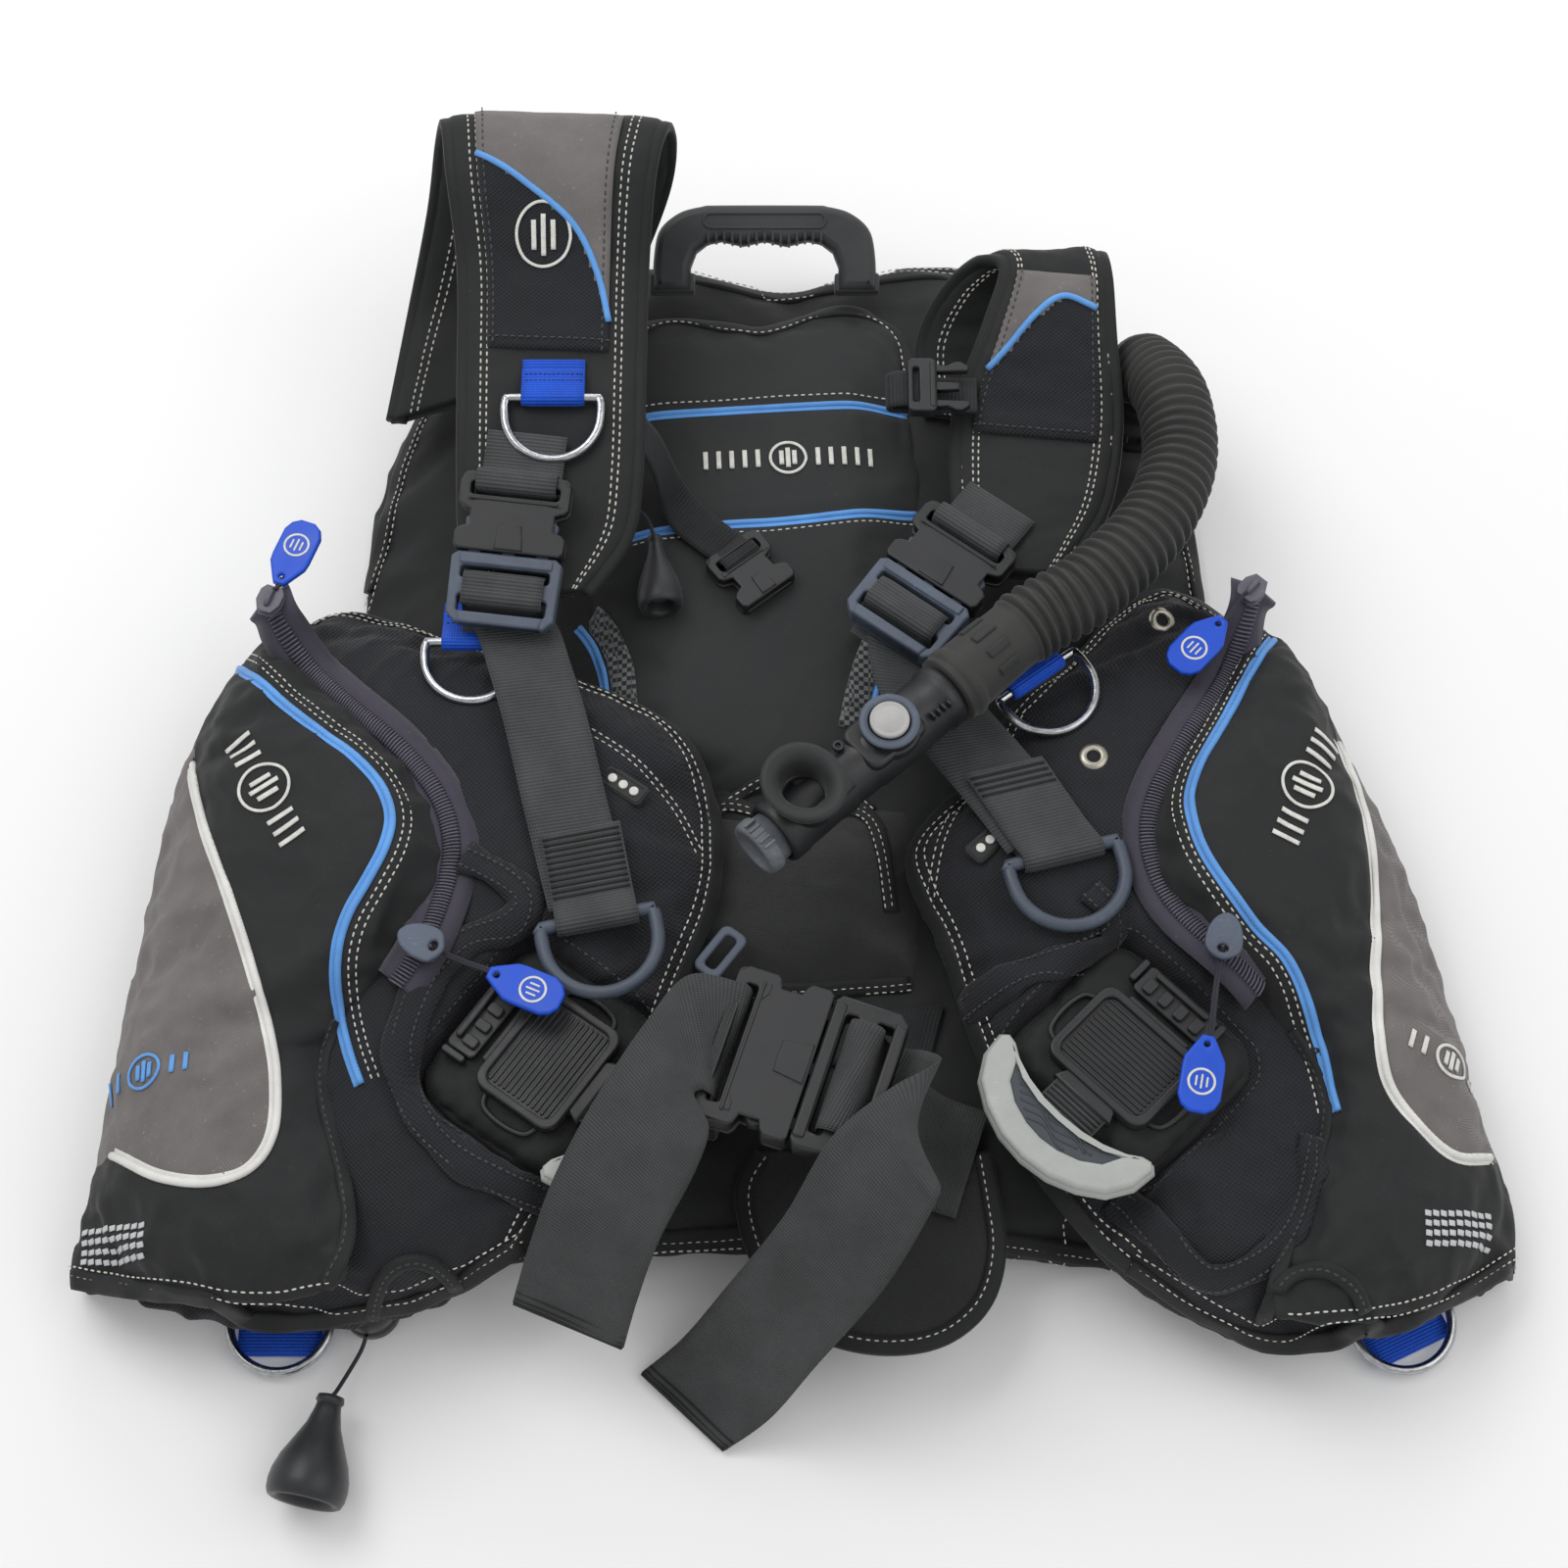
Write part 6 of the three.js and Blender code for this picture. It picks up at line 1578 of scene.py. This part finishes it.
for side, ((cx, cy), pull) in SLEEVES.items():
    m = frame_at(cx, cy, 0, (*pull, 0))
    body = f"weight_{side}"
    parts = [moulding([rounded(56, 44, 7)], 81.4, 87.6, 1.6, m), moulding([rounded(56, 44, 7), rounded(48, 36, 5)],
            86.4, 90.0, 1.0, m)]
    for k in range(13):
        y = -15.6 + k * 2.6
        parts.append(slab_box(-22.6, 22.6, y - 0.7, y + 0.7, 87.0, 88.4, m, 0.45))
    parts.append(slab_box(-17, 17, -24.6, -20.6, 82, 88, m, 1.0))
    parts.append(moulding([[(-12, 18), (12, 18), (16.5, 27.6), (-16.5, 27.6)]], 82.4, 88.6, 1.0, m))
    solid(f"weight_cover_{side}", parts, "black", body)
    strip = [(18, 84.6), (28, 86.6), (38, 87.6), (48, 88.4)]
    band(f"weight_webbing_{side}", *threaded(m, strip, 14.5), 1.8, "webbing", body, "weight_plastic", step=1.2)
    ribs = []
    for y in np.arange(28, 44, 2.4):
        height = np.interp(y, [along for along, _ in strip], [high for _, high in strip]) + 1.0
        line = [m @ (Vector((x, y, height)) * MM) for x in (-13.5, -5, 5, 13.5)]
        ribs.append(sweep(np.array(line), ellipse(1.3, 0.9, 6)))
    solid(f"weight_webbing_ribs_{side}", ribs, "tape", body)
    half = [(46, 31.5), (44.6, 43), (38, 54), (27, 61.4), (14, 66.4), (0, 68)]
    inner = [(43, 28.6), (38.4, 29.6), (33, 33.2), (24, 38.4), (12, 41.4), (0, 42)]
    outline = [(-x, y) for x, y in half] + half[-2::-1] + inner[:-1] + [(-x, y) for x, y in reversed(inner)]
    handle = [moulding([outline], 83.5, 92.6, 3.4, m)]
    rim_out = [(x * 0.97, 48 + (y - 48) * 0.96) for x, y in outline]
    handle.append(moulding([rim_out, INSET], 90.2, 95.0, 1.9, m))
    solid(f"weight_grip_{side}", handle, "pale", body, [f"weight_handle_{side}"])
    dark = []
    for k in range(5):
        y0 = 41.8 + k * 2.3
        wide = np.interp(y0, [41, 46, 52], [24, 19, 9])
        line = [m @ (Vector((x, y0 + 1.3 * math.sin(x * 0.30 + k), 93.0)) * MM) for x in np.linspace(-wide, wide, 34)]
        dark.append(sweep(np.array(line), ellipse(1.3, 1.6, 8)))
    dark.append(moulding([INSET], 90.8, 93.2, 0.5, m))
    solid(f"weight_grip_inset_{side}", dark, "inset", body)
    # The latch that the pouch clicks into, beside the plate and sewn to the vest.
    parts = [moulding([rounded(40, 15, 3, 0, -35)], 83, 87, 1.0, m),
             slab_box(-15, 15, -40.6, -37.6, 86, 90.4, m, 0.8)]
    for x in (-13.5, -4.5, 4.5, 13.5):
        parts.append(slab_box(x - 2.6, x + 2.6, -36.6, -29.4, 86, 89.4, m, 0.7))
    parts.append(slab_box(-24, -20.6, -42, -30, 83, 88.6, m, 0.8))
    parts.append(slab_box(20.6, 24, -42, -30, 83, 88.6, m, 0.8))
    solid(f"weight_latch_{side}", parts, "black", "vest")
    wings = []
    for sx in (-1, 1):
        line = [m @ (Vector((sx * x, y, 83.4)) * MM) for x, y in ((27, -14), (33, -11), (35, 0), (33, 11), (27, 14))]
        wings.append(sweep(curve_through(np.array(line) * 1000, 1.5) * MM, ellipse(2.6, 2.2, 8)))
    solid(f"weight_wire_{side}", wings, "black", body)

# Zip pulls ----------------------------------------------------------------------------------------

for name, (centre, towards) in ZIP_PULLS.items():
    m = frame_at(*centre, (*towards, 0))
    body, far = f"zip_{name}", math.hypot(*towards)
    start = far - 14
    slider = [moulding([[(-3.4, -7), (3.4, -7), (6, -2), (6, 4), (4, 7), (-4, 7), (-6, 4), (-6, -2)]], low, low + 1.9,
                       0.5, m) for low in (-2.6, 0.7)]
    slider.append(slab_box(-1.6, 1.6, -5, 5, -1.2, 1.4, m, 0.3))
    bridge = [m @ (Vector((0, y, z)) * MM) for y, z in ((-4, 2.2), (-3, 4.2), (0, 5.0), (3.4, 4.4), (5, 2.2))]
    slider.append(sweep(np.array(bridge), ellipse(2.4, 1.5, 8)))
    solid(f"{body}_slider", slider, "coil", body)
    if name.startswith("lower"):
        drop = [(0, -12), (5.4, -8.5), (8.2, -1), (7.4, 6.5), (0, 10.5), (-7.4, 6.5), (-8.2, -1), (-5.4, -8.5)]
        smooth = smoothed(drop, 1.6, closed=True)
        solid(f"{body}_drop", [moulding([smooth, oval(5, 4, 0, 5.4, 16)], 3.4, 6.6, 1.1, m)], "slate", body)
    line = [m @ (Vector((x, y, z)) * MM) for x, y, z in ((0, 4, 3.4), (0.8, 7, 2.4), (0.5, start * 0.5 + 3, 0.6),
                                                         (-0.4, start - 1, 0), (0, start + 4, 0))]
    parts = [sweep(curve_through(np.array(line) * 1000 + offset, 1.2) * MM, ellipse(1.7, 1.7, 8))
             for offset in ((0, 0, 0), (1.3, 0.6, 0.2))]
    solid(f"{body}_lanyard", parts, "cord", body)
    half = [(2.6, start), (4.2, start + 2.5), (9.0, start + 11), (9.5, start + 15), (9.5, start + 29),
            (7.4, start + 33.4), (3.6, start + 36)]
    tab = mirrored(half)
    parts = [moulding([tab, oval(2.6, 2.6, 0, start + 4.2, 12)], -1.6, 1.6, 1.2, m)]
    solid(f"{body}_tab", parts, "blue", body, [f"zip_pull_{name}"])
    middle = start + 22
    mark = [moulding([oval(12.6, 12.6, 0, middle), oval(10.4, 10.4, 0, middle)], 1.3, 2.0, 0.25, m)]
    for offset in (-2.4, 0, 2.4):
        mark.append(slab_box(offset - 0.45, offset + 0.45, middle - 3.4 + abs(offset) * 0.4,
                             middle + 3.4 - abs(offset) * 0.4, 1.3, 2.0, m, 0.2))
    solid(f"{body}_mark", mark, "embroidery", body)

# Waist --------------------------------------------------------------------------------------------

waist = frame_at(12, -160, 108, (-0.95, 0.31, 0))
MOUTH = np.array((12, -160, 108.0))
side_release_female("waist_socket", waist, 72, 44, 15, 52, "black", "vest",
                    ["waist_buckle_female"])
side_release_male("waist_plug", waist, 72, 44, 34, 15, 52, "black", "waist_release",
                  ["waist_buckle_male"])
female_run = [(118, -58), (70, -58), (42, -57.4), (36.6, -52), (36, -40), (36, -20), (36, -4), (36, 4), (37.5, 9.4),
              (42, 10.4)]
right_upper = [(-54, 40, 12), (-72, 18, 12), (-92, -12, 5), (-110, -43, -8), (-122, -68, -30), (-131, -86, -58)]
right_lower = [(-51, -16, 11.5), (-44, -29, 12), (-50, -47, 6), (-65, -72, -9), (-75, -92, -32), (-82, -106, -60)]
male_run = [(-76, -58), (-58, -57), (-46, -46), (-40.5, -27), (-37, -14.5), (-24, -12.6), (-11.5, -11.6), (-10, -5),
            (-10, 5), (-12.5, 9.2), (-21.5, 9.2), (-25, 5), (-25, -4), (-28, -9), (-35, -9.2), (-42, -5)]
left_upper = [(56, 6, 2), (50, -2, 10), (33, -12, 12), (8, -34, 13), (-12, -62, -8), (-37, -83, -44), (-57, -96, -82),
              (-76, -106, -104)]
left_lower = [(52, -48, -1), (54, -56, 6), (52, -60, 6), (50, -64, 2), (31, -91, -16), (2, -116, -52),
              (-18, -131, -86), (-38, -141, -105)]
for side, run, upper, lower, body in (("right", female_run, right_upper, right_lower, "vest"),
                                      ("left", male_run, left_upper, left_lower, "waist_release")):
    left_edge, right_edge = threaded(waist, run, 26)
    left_edge += [tuple(MOUTH + p) for p in upper]
    right_edge += [tuple(MOUTH + p) for p in lower]
    band(f"waist_webbing_{side}", left_edge, right_edge, 1.8, "elastic", body, "waist_webbing",
         [f"waist_strap_{side}"], wave=0.8, step=1.6, across=13)
    # The tail's hemmed end: a folded strip with a rib at its edge.
    a, b = np.array(left_edge), np.array(right_edge)
    ends = []
    for back, wide in ((0.0, 2.6), (0.085, 1.3), (0.2, 1.0)):
        pa, pb = a[-1] * (1 - back) + a[-2] * back, b[-1] * (1 - back) + b[-2] * back
        across = unit(pb - pa)
        normal = unit(np.cross(across, a[-1] - a[-2]))
        line = np.array([at(*(pa * (1 - s) + pb * s)) for s in np.linspace(0.01, 0.99, 14)])
        ends.append(sweep(line, ellipse(wide, 2.9 if wide > 2 else 2.3, 8), [normal] * 14))
    solid(f"waist_webbing_hem_{side}", ends, "tape", body)

flap_line = [(-12, -176), (-20, -190), (-19, -208), (-12, -228), (2, -250), (22, -263), (48, -267), (72, -262),
             (90, -246), (97, -222), (95, -198), (92, -176)]
smooth_flap = smoothed(flap_line, 4.0)
FLAP_MIDDLE = (40, -218)
FLAP_RINGS = 26


def shrunk(outline, share):
    """The flap's outline drawn in towards its middle."""
    cx, cy = FLAP_MIDDLE
    return [(cx + (x - cx) * share, cy + (y - cy) * share) for x, y in outline]


# Two faces of rings about the middle, joined round the edge
verts, faces = [], []
for layer, z in ((0, 46.6), (1, 43.2)):
    for k in range(FLAP_RINGS + 1):
        f = k / FLAP_RINGS
        for x, y in shrunk(smooth_flap, f):
            dz = 0.9 * noise.noise(Vector((x, y, 3)) / 24) * f
            verts.append(at(x, y, z + dz - (0.6 * (f > 0.98) if layer == 0 else 0)))
n = len(smooth_flap)
half_count = (FLAP_RINGS + 1) * n
for layer in (0, 1):
    for k in range(FLAP_RINGS):
        for i in range(n):
            j = (i + 1) % n
            p = [layer * half_count + k * n + i, layer * half_count + k * n + j, layer * half_count + (k + 1) * n + j,
                 layer * half_count + (k + 1) * n + i]
            faces.append(tuple(p if layer else p[::-1]))
for i in range(n):
    j = (i + 1) % n
    faces.append((FLAP_RINGS * n + i, FLAP_RINGS * n + j, half_count + FLAP_RINGS * n + j,
                  half_count + FLAP_RINGS * n + i))
flap = solid("cummerbund_pile", [(verts, faces)], "pile", "vest", ["cummerbund_flap"])
flap_skin = Skin(flap)
path, normals = flap_skin.lay(shrunk(flap_line, 0.955), -0.6)
hem = solid("cummerbund_binding", [sweep(path, tape_section(9, 4.6), normals)], "tape", "vest")
rows = []
for share in (0.985, 0.925):
    path, normals = flap_skin.lay(shrunk(flap_line, share), 1.6)
    rows += dashes(path, normals)
flap_stitches = solid("cummerbund_stitches", rows, "stitch", "vest")

# Back hardware ------------------------------------------------------------------------------------

plate = NODES["backpack_plate"]
plate.data.materials.clear()
plate.data.materials.append(LOOKS["hull"])
for node in ("cam_buckle_frame", "cam_buckle_lever"):
    NODES[node].data.materials.clear()
    NODES[node].data.materials.append(LOOKS["black"])
y0, y1 = -34.6, 14.6
loop = [(0, 7.9), (60, 7.9), (92, 7.9), (95.2, 8.6), (95.9, 9.4), (95.2, 10.3), (92, 10.9), (0, 10.9), (-92, 10.9),
        (-95.2, 10.3), (-95.9, 9.4), (-95.2, 8.6), (-92, 7.9), (-1, 7.9)]
band("tank_webbing_loop", [(x, y1, z) for x, z in loop], [(x, y0, z) for x, z in loop], 1.6, "black_webbing", "vest",
     "tank_webbing", ["tank_band"])

# Floor --------------------------------------------------------------------------------------------

floor_mesh = bpy.data.meshes.new("floor")
floor_mesh.from_pydata([(-4, -4, -0.0005), (4, -4, -0.0005), (4, 4, -0.0005), (-4, 4, -0.0005)], [], [(0, 1, 2, 3)])
floor = bpy.data.objects.new("floor", floor_mesh)
bpy.context.scene.collection.objects.link(floor)
paper = Look("floor_paper", (0.92, 0.92, 0.92), 0.9)
paper.bump(paper.noise(40, 3, 0.5), 0.05, 0.0005)
floor.data.materials.append(paper.mat)
